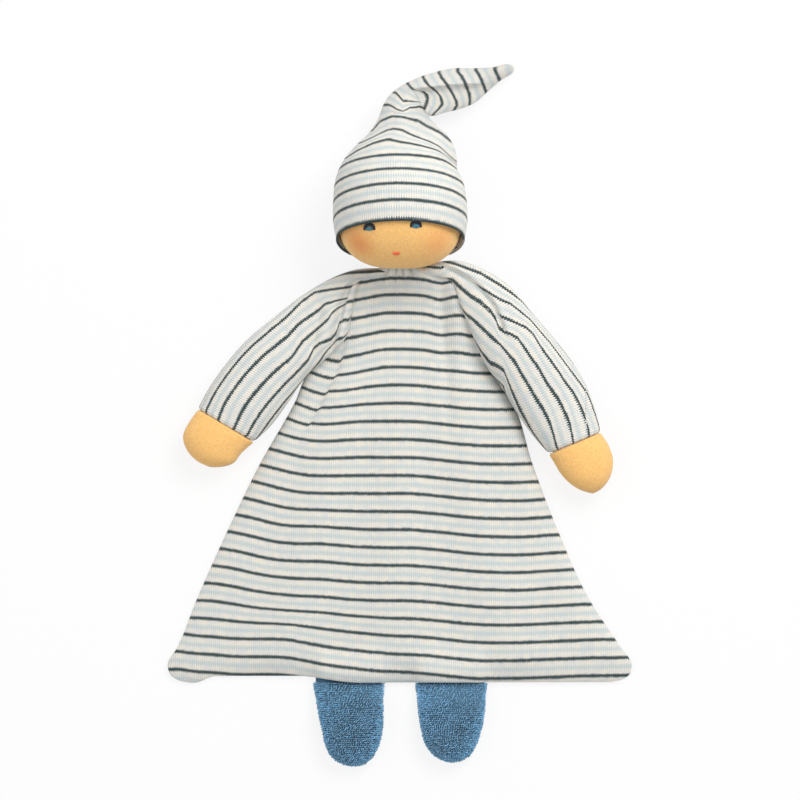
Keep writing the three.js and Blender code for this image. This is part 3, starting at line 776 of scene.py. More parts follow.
def stripe_dip(x, y):
    """How far the stripes of the dress sink below their height at the middle, in millimetres."""
    dip = 1.1 - 0.8 * soft_step(60, 110, -y)
    dip = dip - 9.0 * soft_step(30, 100, -x)
    dip += 3.2 * soft_step(0, 45, x) - 1.4 * soft_step(50, 105, x)
    dip += 3.6 * soft_step(4, 30, -x) * soft_step(-8, 45, y)
    dip += 0.6 * bump(60, 16, x) * within(-120, -85, -50, 0, y)
    dip += (1.3 * bump(20, 5, x) - 1.1 * bump(29, 6, x)) * soft_step(10, 60, y)
    trough = bump(-41 + 0.36 * (y + 2.5), 14, x) * within(-120, -80, 20, 45, y)
    dip += (1.1 + 0.9 * soft_step(-35, 5, y)) * trough
    dip -= 1.5 * bump(-38, 14, x) * within(-112, -95, -65, -35, y)
    past = fold_line(y) - x
    dip += 1.9 * soft_step(-0.8, 1.0, past) * bump(0, 13, past) * within(-16, 2, 31, 40, y)
    bow = 4.6 * within(-88, -52, -55, 5, x) + 1.4 * bump(-112, 8, x)
    return dip - bow * soft_step(90, 113, -y)


def hem_bow(x):
    """How far the hem is drawn up between its right corner and the right foot, in millimetres."""
    return 3.4 * within(-103, -92, -52, -20, x)


def dress_weave(x, y):
    stripe = 3 + (THIRD_STRIPE - y - stripe_dip(x, y)) / DRESS_PITCH
    return x / RIB, stripe - 0.12 * soft_step(60, 68, y) + 0.02 * gathers(x, y)


def dress_plan(across, along):
    """Place in plan, and between the edges from -1 to 1, with the levels of the front and of the back."""
    left_x, left_y, right_x, right_y, mid, edge, back_mid, back_edge = through(DRESS, along)
    side = 0.5 - 0.5 * np.cos(np.pi * across)
    x = left_x + (right_x - left_x) * side
    y = left_y + (right_y - left_y) * side
    y = y + hem_bow(x) * soft_step(112, 133, -y)
    return x, y, 2 * side - 1, (mid, edge), (back_mid, back_edge)


def crown(side, y):
    """Flat across the skirt with rolled edges, and a shallow dip between the sleeves."""
    rolled = np.sqrt(np.clip(1 - np.abs(side) ** 7, 0, 1))
    shallow = 1 - side**2
    share = soft_step(18, 34, y)
    return rolled * (1 - share) + shallow * share


def gathers(x, y):
    """Pleats that fan out from the gathered neck, from -1 in a gap to 1 on a pleat."""
    turn = np.arctan2(x, GATHERS_FROM - y)
    reach = np.hypot(x, GATHERS_FROM - y)
    pleat = np.sqrt(np.abs(np.cos(10 * turn + 0.5 * np.sin(5 * turn))))
    return (2 * pleat - 1) * soft_step(-25, -12, -reach)


def dress_folds(x, y, side):
    """Share of the skirt's broad folds, and the height of the creases in millimetres."""
    skirt = soft_step(-40, 30, -y) * np.sqrt(np.clip(1 - side**4, 0, 1))
    skirt = skirt * soft_step(0, 16, 134 + y)
    folds = 0.5 * (1 + np.cos(4 * np.pi * (side + 0.03 * np.sin(y / 37)))) * skirt
    groove = -1.9 * bump(20.5 + 0.06 * (60 - y), 3.2, x) * soft_step(-35, 40, y)
    groove += 1.3 * bump(27.5 + 0.10 * (60 - y), 4.5, x) * soft_step(-30, 35, y) * soft_step(0, 12, 72 - y)
    past = fold_line(y) - x
    groove -= 1.3 * soft_step(-1.2, 1.2, past) * bump(0, 11, past) * within(-18, 4, 34, 44, y)
    groove += 0.9 * bump(-5, 4.5, past) * soft_step(-40, 10, y)
    feet = within(4, 12, 38, 46, np.abs(x))
    groove += 4.3 * feet * soft_step(112, 131, -y)
    return folds, groove + 1.5 * gathers(x, y)


class COMFORTER_OT_dress(Operator):
    """Make the front and back of the dress, a closed bag gathered at the neck"""

    bl_idname = "comforter.dress"
    bl_label = "Dress"

    def execute(self, context):
        cloth = context.scene.comforter_cloth
        doll = context.scene.comforter_doll
        jersey = striped_jersey(cloth)

        def front_shape(across, along):
            x, y, side, (mid, edge), _ = dress_plan(across, along)
            folds, creases = dress_folds(x, y, side)
            z = edge + (mid - edge) * crown(side, y) + folds * doll.fold_height / MM + creases
            return np.stack((x, y, z), axis=-1)

        def back_shape(across, along):
            x, y, side, _, (mid, edge) = dress_plan(across, along)
            z = edge + (mid - edge) * np.sqrt(np.clip(1 - np.abs(side) ** 9, 0, 1)) + 0.05
            return np.stack((x, y, z), axis=-1)

        def weave(across, along):
            x, y, *_ = dress_plan(across, along)
            return dress_weave(x, y)

        front = face_up(shaped_grid("dress_front_cloth", 170, 190, front_shape, weave), True)
        back = face_up(shaped_grid("dress_back_cloth", 120, 130, back_shape, weave), True)
        thicken(front, cloth.thickness, -1)
        thicken(back, cloth.thickness, 1)
        for piece, node in ((front, "dress_front"), (back, "dress_back")):
            dress_in(piece, jersey)
            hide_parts(node)
        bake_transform(front)
        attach(back, "dress")
        return {"FINISHED"}


# Sleeves, hands and their filling


def arm_parts():
    """Each arm's side, sleeve and hand, with its first stripe and its pitch at places along the sleeve."""
    return (
        ("right", RIGHT_SLEEVE, RIGHT_HAND, ((0, 0.3, 0.6, 1), (4.8, 8.0, 10.2, 9.7), (8.4, 9.0, 9.0, 8.0))),
        ("left", LEFT_SLEEVE, LEFT_HAND, ((0, 0.4, 0.6, 1), (12, 10, 8, 1.5), (9, 9.2, 9, 8.2))),
    )


def left_fold(x, y):
    """Share of the way down the fold over the left shoulder, and the distance inside it."""
    start, end, bulge = np.array((18.0, 74.8)), np.array((52.5, 40.0)), 7.4
    run = end - start
    length = np.hypot(*run)
    place = ((x - start[0]) * run[0] + (y - start[1]) * run[1]) / length**2
    inside = ((x - start[0]) * run[1] - (y - start[1]) * run[0]) / length
    share = np.clip(place, 0, 1)
    return place, inside + 4 * bulge * share * (1 - share)


def between_tracks(tracks, x, y):
    """Stripes counted down from the first track, which is stripe -1."""
    heights = np.array([np.interp(x, *zip(*track)) for track in tracks])
    steps = np.clip((heights[:-1] - y) / (heights[:-1] - heights[1:]), 0, 1).sum(axis=0)
    return steps - 1 + (np.minimum(heights[0] - y, 0) + np.maximum(heights[-1] - y, 0)) / 9


def left_stripes(x, y, _):
    """Inside the fold the stripes run on from the dress, and the cloth between is out of sight."""
    above = y - np.interp(x, *zip(*LEFT_STRIPES[3]))
    place, inside = left_fold(x, y)
    hidden = (of_faces(inside) > 0) & (of_faces(above) > 0) & (of_faces(place) < 1.02)
    folded = 2 - np.maximum(above, 0) * (0.083 + 0.056 * soft_step(-27, -21, -x))
    return np.where(hidden, folded, between_tracks(LEFT_STRIPES, x, y))


def left_height(x, y):
    """Ridge outside the fold over the left shoulder and the dip inside it, in millimetres."""
    place, inside = left_fold(x, y)
    reach = within(0.0, 0.2, 0.9, 1.15, place)
    return reach * (1.2 * bump(-1.8, 1.6, inside) - 1.8 * bump(0.9, 1.3, inside))


def beside_seam(x, y):
    """Distance outwards from the right raglan seam, level with it."""
    return np.interp(y, (21.5, 30, 38, 47.5, 56.5, 64, 70), (-30, -28.5, -26, -23.7, -21.7, -19, -10)) - x


def right_stripes(x, y, stripe):
    """Over the shoulder the stripes follow their own tracks, and on the strip by the seam they lie level."""
    tracked = between_tracks(RIGHT_SHOULDER_STRIPES, x, y)
    stripe = stripe + soft_step(-57, -47, x) * (tracked - stripe)
    middle_y = of_faces(y)
    strip = (of_faces(beside_seam(x, y)) < 4.8) & (middle_y < 67) & (middle_y > 26)
    return np.where(strip, 2 + (56.1 - y + 0.13 * (x + 24)) / 8.9, stripe)


def right_height(x, y):
    """Strip by the right raglan seam, the tuck beside it and their grooves, in millimetres."""
    away = beside_seam(x, y)
    reach = within(22, 29, 63, 69, y)
    lower = within(29, 35, 50, 57, y)
    height = 1.4 * within(0.2, 3.0, 4.4, 5.8, away) - 2.0 * bump(6.8, 1.6, away)
    return reach * height + lower * (1.4 * bump(12, 2.6, away) - 1.6 * bump(17, 1.7, away))


FOLDS = {"left": (left_stripes, left_height), "right": (right_stripes, right_height)}


def shoulder(side, stations):
    """The arm's pivot, the level direction from it to the cuff, and how far that is."""
    pivot = np.array(joint_places[f"{side}_arm_swing"])
    reach = tube(stations, np.full(1, 0.5), np.full(1, 1.0))[0] * MM - pivot
    reach[2] = 0
    length = np.linalg.norm(reach)
    return pivot, reach / length, length


def bend_with_arm(piece):
    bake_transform(piece)


class COMFORTER_OT_sleeves(Operator):
    """Make the stuffed sleeves, with stripes along the arm, from the raglan seams to the cuffs"""

    bl_idname = "comforter.sleeves"
    bl_label = "Sleeves"

    def execute(self, context):
        jersey = striped_jersey(context.scene.comforter_cloth)
        for side, stations, _, stripes in arm_parts():

            def shape(across, along, stations=stations, side=side):
                roll = np.clip((along - 0.985) / 0.015, 0, 1)
                points = tube(stations, across, along, 1.1 * roll**2, SLEEVE_ROUNDNESS)
                angle = ring_angle(across)
                x, y = points[:, 0].copy(), points[:, 1].copy()
                front = np.clip(2 * np.sin(angle), 0, 1)
                points[:, 2] += front * (FOLDS[side][1](x, y) + 1.6 * gathers(x, y))
                return points

            def weave(across, along, stations=stations, stripes=stripes, side=side):
                outer_x, outer_y, inner_x, inner_y, *_ = through(stations, along)
                width = np.hypot(outer_x - inner_x, outer_y - inner_y) / 2
                places, firsts, pitches = stripes

                def plain(angle):
                    stripe = width * ring_length(angle) - np.interp(along, places, firsts)
                    return stripe / np.interp(along, places, pitches)

                def folded(angle):
                    x, y, _ = tube(stations, ring_share(angle), along, 0, SLEEVE_ROUNDNESS).T
                    return FOLDS[side][0](x, y, plain(angle))

                angle = ring_angle(across)
                upper = np.clip(angle, 0.45, np.pi - 0.45)
                return along * 125 / 1.2, folded(upper) + plain(angle) - plain(upper)

            sleeve = close_up(shaped_grid(f"{side}_sleeve_cloth", 111, 180, shape, weave))
            dress_in(sleeve, jersey)
            pivot, reach, length = shoulder(side, stations)

            def sewn(points, pivot=pivot, reach=reach, length=length):
                along = (points * MM - pivot) @ reach
                return (along < HELD_AT_SHOULDER) | (along > length - HELD_AT_CUFF)

            fill_out(sleeve, sewn)
            bend_with_arm(sleeve)
            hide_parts(f"{side}_sleeve_yoke", f"{side}_sleeve")
        return {"FINISHED"}


class COMFORTER_OT_hands(Operator):
    """Make the stuffed hands and the wool inside the arms"""

    bl_idname = "comforter.hands"
    bl_label = "Hands"

    def execute(self, context):
        skin = skin_jersey(context.scene.comforter_doll)
        wool = raw_wool()
        for side, sleeve, hand_stations, _ in arm_parts():

            def shape(across, along, stations=hand_stations):
                roll = np.clip(1 - along / 0.03, 0, 1)
                return tube(stations, across, along, roll**2, HAND_ROUNDNESS)

            def weave(across, along):
                return across * 96, along * 40

            hand = close_up(shaped_grid(f"{side}_hand_skin", 61, 60, shape, weave))
            dress_in(hand, skin)
            wrist, tip = middle_of(hand_stations, np.array((0.0, 1.0)))

            def sewn(points, wrist=wrist, reach=tip - wrist):
                return (points - wrist) @ reach < HELD_AT_CUFF / MM * np.linalg.norm(reach)

            fill_out(hand, sewn)
            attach(hand, f"{side}_arm")
            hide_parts(f"{side}_hand")

            def filling(across, along, stations=sleeve[4:] + hand_stations[1:]):
                return tube(stations, across, along, ARM_FILLING_INSET, HAND_ROUNDNESS)

            stuffing = close_up(shaped_grid(f"{side}_arm_filling", 33, 40, filling, weave))
            dress_in(stuffing, wool)
            pivot, reach, _ = shoulder(side, sleeve)
            bend_with_arm(stuffing)
            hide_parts(f"{side}_arm_wool")
        return {"FINISHED"}


# Head, neck and face


def head_point(direction, inset=0.0):
    """Point of the head in a direction from its centre. The chin is fuller than a ball's."""
    radii = HEAD_RADII - inset
    share = np.abs(direction / radii)
    power = 2 + (CHIN_SQUARENESS - 2) * soft_step(0.0, 0.6, -direction[..., 1])
    flat = (share[..., 0] ** power + share[..., 1] ** power) ** (2 / power)
    reach = 1 / np.sqrt(flat + share[..., 2] ** 2)
    return HEAD_CENTRE + direction * reach[..., None]


def face_point(x, y):
    """Point on the front of the head above a place in plan."""
    low, high = np.zeros_like(x), np.full_like(x, 40.0)
    for _ in range(40):
        middle = (low + high) / 2
        offset = np.stack((x, y, middle + HEAD_CENTRE[2]), axis=-1) - HEAD_CENTRE
        length = np.linalg.norm(offset, axis=-1)
        surface = np.linalg.norm(head_point(offset / length[..., None]) - HEAD_CENTRE, axis=-1)
        inside = length < surface
        low, high = np.where(inside, middle, low), np.where(inside, high, middle)
    return np.stack((x, y, low + HEAD_CENTRE[2]), axis=-1)


def head_ball(name, columns, rows, inset):
    def shape(across, along):
        polar = np.pi * along
        turn = 2 * np.pi * across
        ring = np.sin(polar)
        x, rise, axis = ring * np.sin(turn), -ring * np.cos(turn), -np.cos(polar)
        y = axis * math.cos(NECK_TILT) - rise * math.sin(NECK_TILT)
        z = axis * math.sin(NECK_TILT) + rise * math.cos(NECK_TILT)
        return head_point(np.stack((x, y, z), axis=-1), inset)

    def weave(across, along):
        return across * 190, along * 90

    return close_up(shaped_grid(name, columns, rows, shape, weave))


class COMFORTER_OT_head(Operator):
    """Make the head's skin, and the gauze and wool inside it"""

    bl_idname = "comforter.head"
    bl_label = "Head"

    def execute(self, context):
        skin = skin_jersey(context.scene.comforter_doll)
        wool = raw_wool()
        gauze = fleece("Cotton gauze", (0.88, 0.86, 0.78))
        layers = (
            ("head_skin_jersey", "head_skin", skin, "skin_jersey", 0.0, (120, 80)),
            ("head_gauze_tube", "head_gauze", gauze, "cotton_gauze", 1.2, (48, 32)),
            ("head_wool_ball", "head_wool", wool, "raw_wool", 2.4, (48, 32)),
        )
        for name, node, material, slot, inset, (columns, rows) in layers:
            ball = head_ball(name, columns, rows, inset)
            dress_in(ball, material)
            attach(ball, "head")
            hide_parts(node)
        return {"FINISHED"}


def about_neck(radius, turn, along):
    """Point at a radius, turn and distance along the tilted neck from its pivot."""
    x, rise = radius * np.sin(turn), -radius * np.cos(turn)
    y = along * math.cos(NECK_TILT) - rise * math.sin(NECK_TILT)
    z = along * math.sin(NECK_TILT) + rise * math.cos(NECK_TILT)
    return NECK_PIVOT + np.stack((x, y, z), axis=-1)


class COMFORTER_OT_neck(Operator):
    """Make the gathered neck, the threads that bind and gather it, and its stub inside the dress"""

    bl_idname = "comforter.neck"
    bl_label = "Neck"

    def execute(self, context):
        skin = skin_jersey(context.scene.comforter_doll)
        cotton = floss("Pale thread", (0.74, 0.70, 0.62))
        wool = raw_wool()

        def neck_shape(across, along):
            turn = 2 * np.pi * across
            flare = along**3
            radius = 3.4 + 2.6 * flare + 0.25 * np.cos(18 * turn) * (0.4 + flare)
            return about_neck(radius, turn, -0.8 + 7.3 * along)

        def weave(across, along):
            return across * 60, along * 14

        neck = close_up(shaped_grid("neck_gathers", 96, 16, neck_shape, weave))
        dress_in(neck, skin)
        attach(neck, "neck")
        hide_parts("neck_wool")

        def binding_shape(across, along):
            turn = 2 * np.pi * along * BINDING_TURNS
            section = 2 * np.pi * across
            radius = 3.9 + THREAD_HALF * np.cos(section)
            return about_neck(radius, turn, 0.1 + 1.3 * along + THREAD_HALF * np.sin(section))

        binding = close_up(shaped_grid("neck_binding", 8, 96, binding_shape, weave))
        dress_in(binding, cotton)
        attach(binding, "neck")
        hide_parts("neck_binding_thread")

        def gather_shape(across, along):
            turn, section = 2 * np.pi * along, 2 * np.pi * across
            wide, tall = 7.4 + THREAD_HALF * np.cos(section), 4.0 + THREAD_HALF * np.cos(section)
            y = 70.0 + THREAD_HALF * np.sin(section) + 0.4 * np.sin(16 * turn)
            return np.stack((wide * np.sin(turn), y, 16.8 - tall * np.cos(turn)), axis=-1)

        gather = close_up(shaped_grid("neckline_thread", 8, 96, gather_shape, weave), False)
        dress_in(gather, cotton)
        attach(gather, "dress")
        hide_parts("neck_gather_thread")

        stub_stations = (
            (-5.0, 69.0, 5.0, 69.0, 17.0, 3.4, 0, 0),
            (-7.0, 62.0, 7.0, 62.0, 11.6, 3.4, 0, 0),
            (-9.0, 54.0, 9.0, 54.0, 7.6, 2.8, 0, 0),
            (-10.5, 47.0, 10.5, 47.0, 5.6, 2.0, 0, 0),
        )

        def stub_shape(across, along):
            return tube(stub_stations, across, along)

        stub = close_up(shaped_grid("neck_tube_end", 24, 16, stub_shape, weave))
        dress_in(stub, wool)
        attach(stub, "dress")
        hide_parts("neck_stub")
        return {"FINISHED"}


def stitch(start, end, thickness, lift):
    """One stitch of floss over the head's skin, from start to end in plan."""
    start, end = np.array(start, float), np.array(end, float)

    def shape(across, along):
        plan = start + (end - start) * along[:, None]
        base = face_point(plan[:, 0], plan[:, 1])
        out = base - HEAD_CENTRE
        out /= np.linalg.norm(out, axis=1)[:, None]
        first, last = face_point(*np.stack((start, end), axis=1))
        run = last - first
        aside = np.cross(out, run / np.linalg.norm(run))
        turn = 2 * np.pi * across
        fat = thickness / 2 * np.sqrt(np.clip(np.sin(np.pi * (0.04 + 0.92 * along)), 0, 1))
        arch = lift * np.sin(np.pi * along) - 0.12
        height = arch + fat * np.sin(turn)
        return base + out * height[:, None] + aside * (fat * np.cos(turn))[:, None]

    def weave(across, along):
        return across, along

    return close_up(shaped_grid("stitch", 8, 7, shape, weave))


def satin(left, middle, step, tall, taper, thickness, lift):
    """Six upright stitches side by side, shorter towards both ends."""
    rows = []
    for index in range(6):
        x = left + step * index
        half = tall * math.sqrt(1 - ((index - 2.5) / taper) ** 2)
        rows.append(stitch((x, middle - half), (x, middle + half), thickness, lift))
    return rows


class COMFORTER_OT_face(Operator):
    """Embroider the eyes and the mouth, stitch by stitch"""

    bl_idname = "comforter.face"
    bl_label = "Face"

    def execute(self, context):
        black = floss("Black floss", (0.012, 0.013, 0.016))
        blue = floss("Blue floss", (0.035, 0.16, 0.22))
        red = floss("Red floss", (0.76, 0.13, 0.04))
        for side, x, y, tall in EYES:
            lashes = []
            for index in range(LASH_STITCHES):
                angle = math.pi * (1.06 - 1.12 * index / (LASH_STITCHES - 1))
                inner = (x + 1.2 * math.cos(angle), y - 0.7 + 0.7 * math.sin(angle))
                outer = (x + 3.1 * math.cos(angle), y - 0.8 + 2.9 * math.sin(angle))
                lashes.append(stitch(inner, outer, 1.1, 0.35))
            lash = join(lashes, f"{side}_lash_stitches")
            dress_in(lash, black)
            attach(lash, "head")
            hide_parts(f"{side}_lash")
            rows = satin(x - 1.4, y - 1.1, 0.56, tall, 3.2, 0.72, 0.45)
            iris = join(rows, f"{side}_iris_stitches")
            dress_in(iris, blue)
            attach(iris, "head")
            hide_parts(f"{side}_iris")
        mouth = join(satin(-3.4, MOUTH_HEIGHT, 0.6, 1.0, 3.4, 0.74, 0.3), "mouth_stitches")
        dress_in(mouth, red)
        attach(mouth, "head")
        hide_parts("mouth")
        return {"FINISHED"}


# Hat


def tail_fall(x, y, angle, stripe):
    """How far the tail drops below its long crease, after a slight rise up to it."""
    above = y - np.interp(x, *zip(*TAIL_CREASE))
    tail = within(9.2, 9.9, 12.6, 14.6, stripe) * np.clip(np.sin(angle), 0, 1)
    depth = 5.4 + 1.8 * soft_step(-12.0, -9.5, -stripe)
    fall = depth * (1 - np.exp(np.minimum(above, 0) / 1.2))
    return tail * (fall - 1.6 * bump(0, 4.0, np.maximum(above, 0)))


def past_knot(place, stripe):
    """How many stripes past the knot at the bend, where the tail comes out from under a fold."""
    return stripe - np.interp(place, (-0.84, -0.32, 0.06, 0.38, 0.8), (8.6, 9.2, 9.45, 9.6, 9.6))


def hat_lift(angle, stripe):
    """Creases at the knot and up the crown, in millimetres."""
    front = np.clip(np.sin(angle), 0, 1)
    place = np.cos(angle)
    past = past_knot(place, stripe)
    knot = bump(0, 0.5, past) * within(-0.95, -0.6, 0.2, 0.5, place) * front
    lift = knot * (2 * soft_step(-0.08, 0.08, past) - 1.2)
    upper = within(4.8, 5.8, 7.2, 7.9, stripe) * front
    lift += upper * (0.8 * bump(0.15, 0.2, place) - 0.9 * bump(-0.25, 0.2, place))
    return lift - 1.6 * bump(4.1, 0.45, stripe) * bump(-0.93, 0.16, place)


def tail_stripes(x, y):
    """Stripes counted along the tail from the ninth above the brim."""
    places = np.array([np.interp(y, *zip(*track)) for track in TAIL_STRIPES])
    steps = np.clip((x - places[:-1]) / (places[1:] - places[:-1]), 0, 1).sum(axis=0)
    return 9 + steps + np.minimum(x - places[0], 0) / 9 + np.maximum(x - places[-1], 0) / 14


def hat_stripes(x, y, angle, stripe):
    """Stripes on the upper side of the hat, as its creases pull them."""
    place = np.cos(angle)
    brim = np.interp(stripe, (-0.2, -0.07, 0.07, 0.5), (-0.1, 0.0, 0.1, 0.5))
    brim -= 0.3 * soft_step(0.0, 0.25, -np.sin(angle)) * soft_step(0.0, 0.3, -place)
    pulled = stripe + soft_step(4.1, 4.5, stripe) * (9 - between_tracks(BEND_STRIPES, x, y) - stripe)
    past = of_faces(past_knot(place, stripe)) > 0
    return np.where(stripe < 0.5, brim, np.where(past, tail_stripes(x, y), pulled))


def clear_of_head(points, room):
    """Points moved out from the head's centre until they lie at least this far above its skin."""
    out = points - HEAD_CENTRE
    far = np.linalg.norm(out, axis=1)
    out /= far[:, None]
    skin = np.linalg.norm(head_point(out) - HEAD_CENTRE, axis=1)
    softness = 0.3
    held = softness * np.logaddexp(far / softness, (skin + room) / softness)
    return HEAD_CENTRE + out * held[:, None]


class COMFORTER_OT_hat(Operator):
    """Make the pointed hat: turned brim, crown, bend and tail in one cloth"""

    bl_idname = "comforter.hat"
    bl_label = "Hat"

    def execute(self, context):
        cloth = context.scene.comforter_cloth
        hem_share = 0.05

        def row(along):
            """Rows below the hem share lie inside the brim, as its turned edge."""
            outside = (along - hem_share) / (1 - hem_share)
            inside = (hem_share - along) / hem_share
            return np.where(along < hem_share, 0.045 * inside, outside), np.clip(inside, 0, 1)

        def shape(across, along):
            place, inside = row(along)
            stripe = through(HAT, place)[7]
            angle = ring_angle(across)
            stations = np.array(HAT)
            stations[:, 7] = 0
            inset = 1.5 * soft_step(0.0, 0.35, inside)
            points = tube(stations, across, place, inset)
            centre = middle_of(stations, place)
            out = points - centre
            out /= np.maximum(np.linalg.norm(out, axis=1), 1e-6)[:, None]
            drop = tail_fall(points[:, 0], points[:, 1], angle, stripe)
            points = points + out * hat_lift(angle, stripe)[:, None]
            points[:, 2] -= drop
            # Low at the sides the brim widens and comes down, and at the nape it is drawn up.
            low = np.clip((centre[:, 2] - points[:, 2]) / 26, 0, 1) * soft_step(-3.0, -0.5, -stripe)
            points[:, 0] += np.sign(points[:, 0]) * 3.2 * low * (1 - low**2)
            points[:, 1] += 7.0 * soft_step(0.65, 1.0, low) - 3.4 * low
            over_edge = soft_step(-0.09, -0.045, -place) * (1 - soft_step(0.0, 0.35, inside))
            return clear_of_head(points, HAT_ROOM + TURNED_EDGE_ROOM * over_edge)

        def weave(across, along):
            place, inside = row(along)
            stripe = through(HAT, place)[7]
            angle = ring_angle(across)
            stations = np.array(HAT)
            stations[:, 7] = 0

            def pulled(angle):
                x, y, _ = tube(stations, ring_share(angle), place).T
                return hat_stripes(x, y, angle, stripe)

            edge = pulled(np.where(np.cos(angle) > 0, 0.0, np.pi))
            behind = stripe + (edge - stripe) * soft_step(-0.6, 0.0, np.sin(angle))
            stripes = np.where((np.sin(angle) > 0) | (stripe < 0.5), pulled(angle), behind)
            # Inside the turned edge the dark stripe runs on round the fold before the ground; this dark edge
            # is partly painted shade under the brim.
            return across * 168, np.where(inside > 0, -0.06 - 0.3 * inside, stripes)

        hat = close_up(shaped_grid("hat_cloth", 161, 240, shape, weave), False)
        thicken(hat, HAT_THICKNESS, -1)
        dress_in(hat, striped_jersey(cloth))
        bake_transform(hat)
        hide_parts("hat_crown", "hat_tail")
        return {"FINISHED"}


# Feet


def loop_mesh():
    """One terry loop as arrays: points of an upright arch, one unit high, and its faces."""
    deselect_all()
    bpy.ops.mesh.primitive_torus_add(
        major_segments=8, minor_segments=3, major_radius=0.36, minor_radius=0.2, rotation=(math.pi / 2, 0, 0)
    )
    torus = bpy.context.object
    bpy.ops.object.transform_apply(location=True, rotation=True, scale=True)
    points = points_of(torus)
    faces = np.array([tuple(face.vertices) for face in torus.data.polygons])
    keep = points[faces].mean(axis=1)[:, 2] > -0.12
    bpy.data.objects.remove(torus)
    points[:, 2] *= 1.5
    return points, faces[keep]


def pile(name, stations, doll, seed):
    """Terry loops standing on a foot in slanting rows, with a little disorder."""
    loop, faces = loop_mesh()
    random = np.random.default_rng(seed)
    height = doll.loop_height / MM
    places = []
    for row in range(doll.loop_rows):
        along = (row + 0.5) / doll.loop_rows
        outer_x, outer_y, inner_x, inner_y, _, half, _, _ = through(stations, np.full(1, along))[:, 0]
        width = math.hypot(outer_x - inner_x, outer_y - inner_y) / 2
        count = max(6, int(math.pi * (width + half) / 0.86))
        shares = (np.arange(count) + 0.4 * row + 0.10 * random.standard_normal(count)) / count
        places.append(np.stack((shares % 1, np.full(count, along)), axis=-1))
    across, along = np.concatenate(places).T
    clear = middle_of(stations, along)[:, 1] < LOOPS_FROM
    across, along = across[clear], along[clear]
    along = np.clip(along + 0.10 * random.standard_normal(len(along)) / doll.loop_rows, 0, 0.985)
    small = 0.004
    base = tube(stations, across, along, LOOP_INSET, FOOT_ROUNDNESS)
    round_it = tube(stations, across + small, along, LOOP_INSET, FOOT_ROUNDNESS) - base
    down_it = tube(stations, across, np.clip(along - small, 0, 1), LOOP_INSET, FOOT_ROUNDNESS) - base
    out = np.cross(round_it, down_it)
    out *= np.sign((out * (base - middle_of(stations, along))).sum(axis=1))[:, None]
    out /= np.linalg.norm(out, axis=1)[:, None]
    turn = 0.7 + 0.35 * random.standard_normal((len(out), 1))
    first = round_it / np.linalg.norm(round_it, axis=1)[:, None]
    wide = first * np.cos(turn) + np.cross(out, first) * np.sin(turn)
    thin = np.cross(out, wide)
    up = out + 0.25 * random.standard_normal((len(out), 1)) * wide
    size = height * random.uniform(0.75, 1.25, (len(out), 1, 1))
    frame_of = np.stack((wide, thin, up), axis=1)
    points = base[:, None] + size * (loop[None] @ frame_of)
    corners = (faces[None] + (np.arange(len(out)) * len(loop))[:, None, None]).reshape(-1, 4)
    mesh = bpy.data.meshes.new(name)
    mesh.from_pydata((points.reshape(-1, 3) * MM).tolist(), [], corners.tolist())
    shades = np.repeat(random.uniform(0, 1, len(out)), len(loop))
    # Height up each loop, from which the terry finish paints shade towards the root.
    heights = np.tile((loop[:, 2] - loop[:, 2].min()) / np.ptp(loop[:, 2]), len(out))
    chart = np.stack((shades, heights), axis=-1)[corners.ravel()]
    mesh.uv_layers.new(name=WEAVE).uv.foreach_set("vector", chart.astype(np.float32).ravel())
    piece = bpy.data.objects.new(name, mesh)
    bpy.context.scene.collection.objects.link(piece)
    activate(piece)
    bpy.ops.object.shade_smooth()
    return piece


class COMFORTER_OT_feet(Operator):
    """Make the terry feet with their loops, and the wool inside"""

    bl_idname = "comforter.feet"
    bl_label = "Feet"

    def execute(self, context):
        doll = context.scene.comforter_doll
        wool = raw_wool()
        for side, stations, seed in (("right", RIGHT_FOOT, 11), ("left", LEFT_FOOT, 12)):

            def shape(across, along, stations=stations):
                return tube(stations, across, along, FOOT_BAG_INSET, FOOT_ROUNDNESS)

            def filling(across, along, stations=stations):
                return tube(stations[2:], across, along, FOOT_FILLING_INSET, FOOT_ROUNDNESS)

            # The bag's chart lies at the loops' roots, so it takes their painted shade.
            def weave(across, along):
                return 0 * across, 0 * along

            bag = close_up(shaped_grid(f"{side}_foot_bag", 60, 50, shape, weave))
            foot = join([bag, pile(f"{side}_foot_loops", stations, doll, seed)], f"{side}_foot_pile")
            dress_in(foot, terry(doll))
            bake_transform(foot)
            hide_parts(f"{side}_foot_terry")
            stuffing = close_up(shaped_grid(f"{side}_foot_filling", 32, 24, filling, weave))
            dress_in(stuffing, wool)
            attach(stuffing, f"{side}_foot")
            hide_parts(f"{side}_foot_wool")
        return {"FINISHED"}


# Stage


def floor_finish():
    """White floor that keeps a faint shadow."""
    material = bpy.data.materials.new("floor")
    material.use_nodes = True
    tree = material.node_tree
    shader = tree.nodes["Principled BSDF"]
    shader.inputs["Base Color"].default_value = FLOOR_GREY
    shader.inputs["Roughness"].default_value = 1.0
    shader.inputs["Specular IOR Level"].default_value = 0.0
    glow = tree.nodes.new("ShaderNodeEmission")
    glow.inputs["Color"].default_value = WHITE
    path = tree.nodes.new("ShaderNodeLightPath")
    seen = number(tree, "MAXIMUM", path.outputs["Is Camera Ray"], path.outputs["Is Glossy Ray"])
    seen = number(tree, "MAXIMUM", seen, path.outputs["Is Transmission Ray"])
    share = number(tree, "MULTIPLY", seen, FLOOR_GLOW)
    mixed = tree.nodes.new("ShaderNodeMixShader")
    tree.links.new(share, mixed.inputs[0])
    tree.links.new(shader.outputs[0], mixed.inputs[1])
    tree.links.new(glow.outputs[0], mixed.inputs[2])
    tree.links.new(mixed.outputs[0], tree.nodes["Material Output"].inputs["Surface"])
    return material


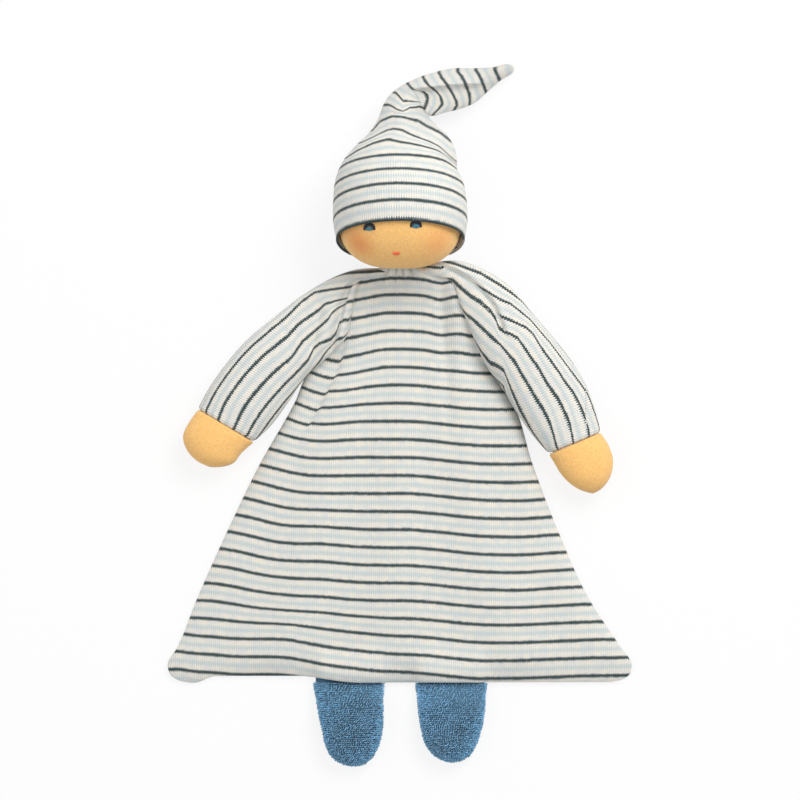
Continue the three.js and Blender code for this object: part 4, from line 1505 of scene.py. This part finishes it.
class COMFORTER_OT_stage(Operator):
    """Set the floor, the soft lamps and the camera straight above"""

    bl_idname = "comforter.stage"
    bl_label = "Stage"

    def execute(self, context):
        stage = context.scene.comforter_stage
        deselect_all()
        bpy.ops.mesh.primitive_plane_add(size=FLOOR_SIZE)
        floor = bpy.context.object
        floor.name = "floor"
        floor.data.materials.append(floor_finish())
        world = context.scene.world or bpy.data.worlds.new("Studio")
        context.scene.world = world
        world.use_nodes = True
        sky = world.node_tree.nodes["Background"]
        sky.inputs["Color"].default_value = WHITE
        sky.inputs["Strength"].default_value = stage.world_strength
        lamps = (
            ("key", (0.55, 0.75, 1.10), 0.7, stage.key_power),
            ("fill", (-0.8, 0.0, 1.4), 1.2, 0.3 * stage.key_power),
        )
        for name, place, size, power in lamps:
            bpy.ops.object.light_add(type="AREA", location=place)
            lamp = bpy.context.object
            lamp.name = name
            lamp.data.size = size
            lamp.data.energy = power
            aim = -lamp.location
            lamp.rotation_euler = aim.to_track_quat("-Z", "Y").to_euler()
        bpy.ops.object.camera_add(location=(0.0, PICTURE_MIDDLE, stage.camera_height), rotation=(0, 0, 0))
        camera = bpy.context.object
        camera.data.sensor_width = SENSOR
        camera.data.lens = SENSOR * stage.camera_height / stage.field
        camera.data.clip_end = 20.0
        context.scene.camera = camera
        context.scene.view_settings.view_transform = "Standard"
        return {"FINISHED"}


class COMFORTER_PT_panel(Panel):
    """Steps that build the comforter"""

    bl_idname = "COMFORTER_PT_panel"
    bl_label = "Doll Comforter"
    bl_space_type = "VIEW_3D"
    bl_region_type = "UI"
    bl_category = "Comforter"

    def draw(self, context):
        for settings in ("comforter_cloth", "comforter_doll", "comforter_stage"):
            group = getattr(context.scene, settings)
            for key in group.__annotations__:
                self.layout.prop(group, key)
        for operator in OPERATORS:
            self.layout.operator(operator.bl_idname)


SETTINGS = (ClothSettings, DollSettings, StageSettings)
OPERATORS = (
    COMFORTER_OT_stage,
    COMFORTER_OT_dress,
    COMFORTER_OT_sleeves,
    COMFORTER_OT_hands,
    COMFORTER_OT_head,
    COMFORTER_OT_neck,
    COMFORTER_OT_face,
    COMFORTER_OT_hat,
    COMFORTER_OT_feet,
)
CLASSES = (*SETTINGS, *OPERATORS, COMFORTER_PT_panel)


def register():
    for item in CLASSES:
        bpy.utils.register_class(item)
    bpy.types.Scene.comforter_cloth = PointerProperty(type=ClothSettings)
    bpy.types.Scene.comforter_doll = PointerProperty(type=DollSettings)
    bpy.types.Scene.comforter_stage = PointerProperty(type=StageSettings)


def unregister():
    del bpy.types.Scene.comforter_stage
    del bpy.types.Scene.comforter_doll
    del bpy.types.Scene.comforter_cloth
    for item in reversed(CLASSES):
        bpy.utils.unregister_class(item)


def main():
    register()
    bpy.ops.comforter.stage()
    bpy.ops.comforter.dress()
    bpy.ops.comforter.sleeves()
    bpy.ops.comforter.hands()
    bpy.ops.comforter.head()
    bpy.ops.comforter.neck()
    bpy.ops.comforter.face()
    bpy.ops.comforter.hat()
    bpy.ops.comforter.feet()


if __name__ == "__main__":
    main()
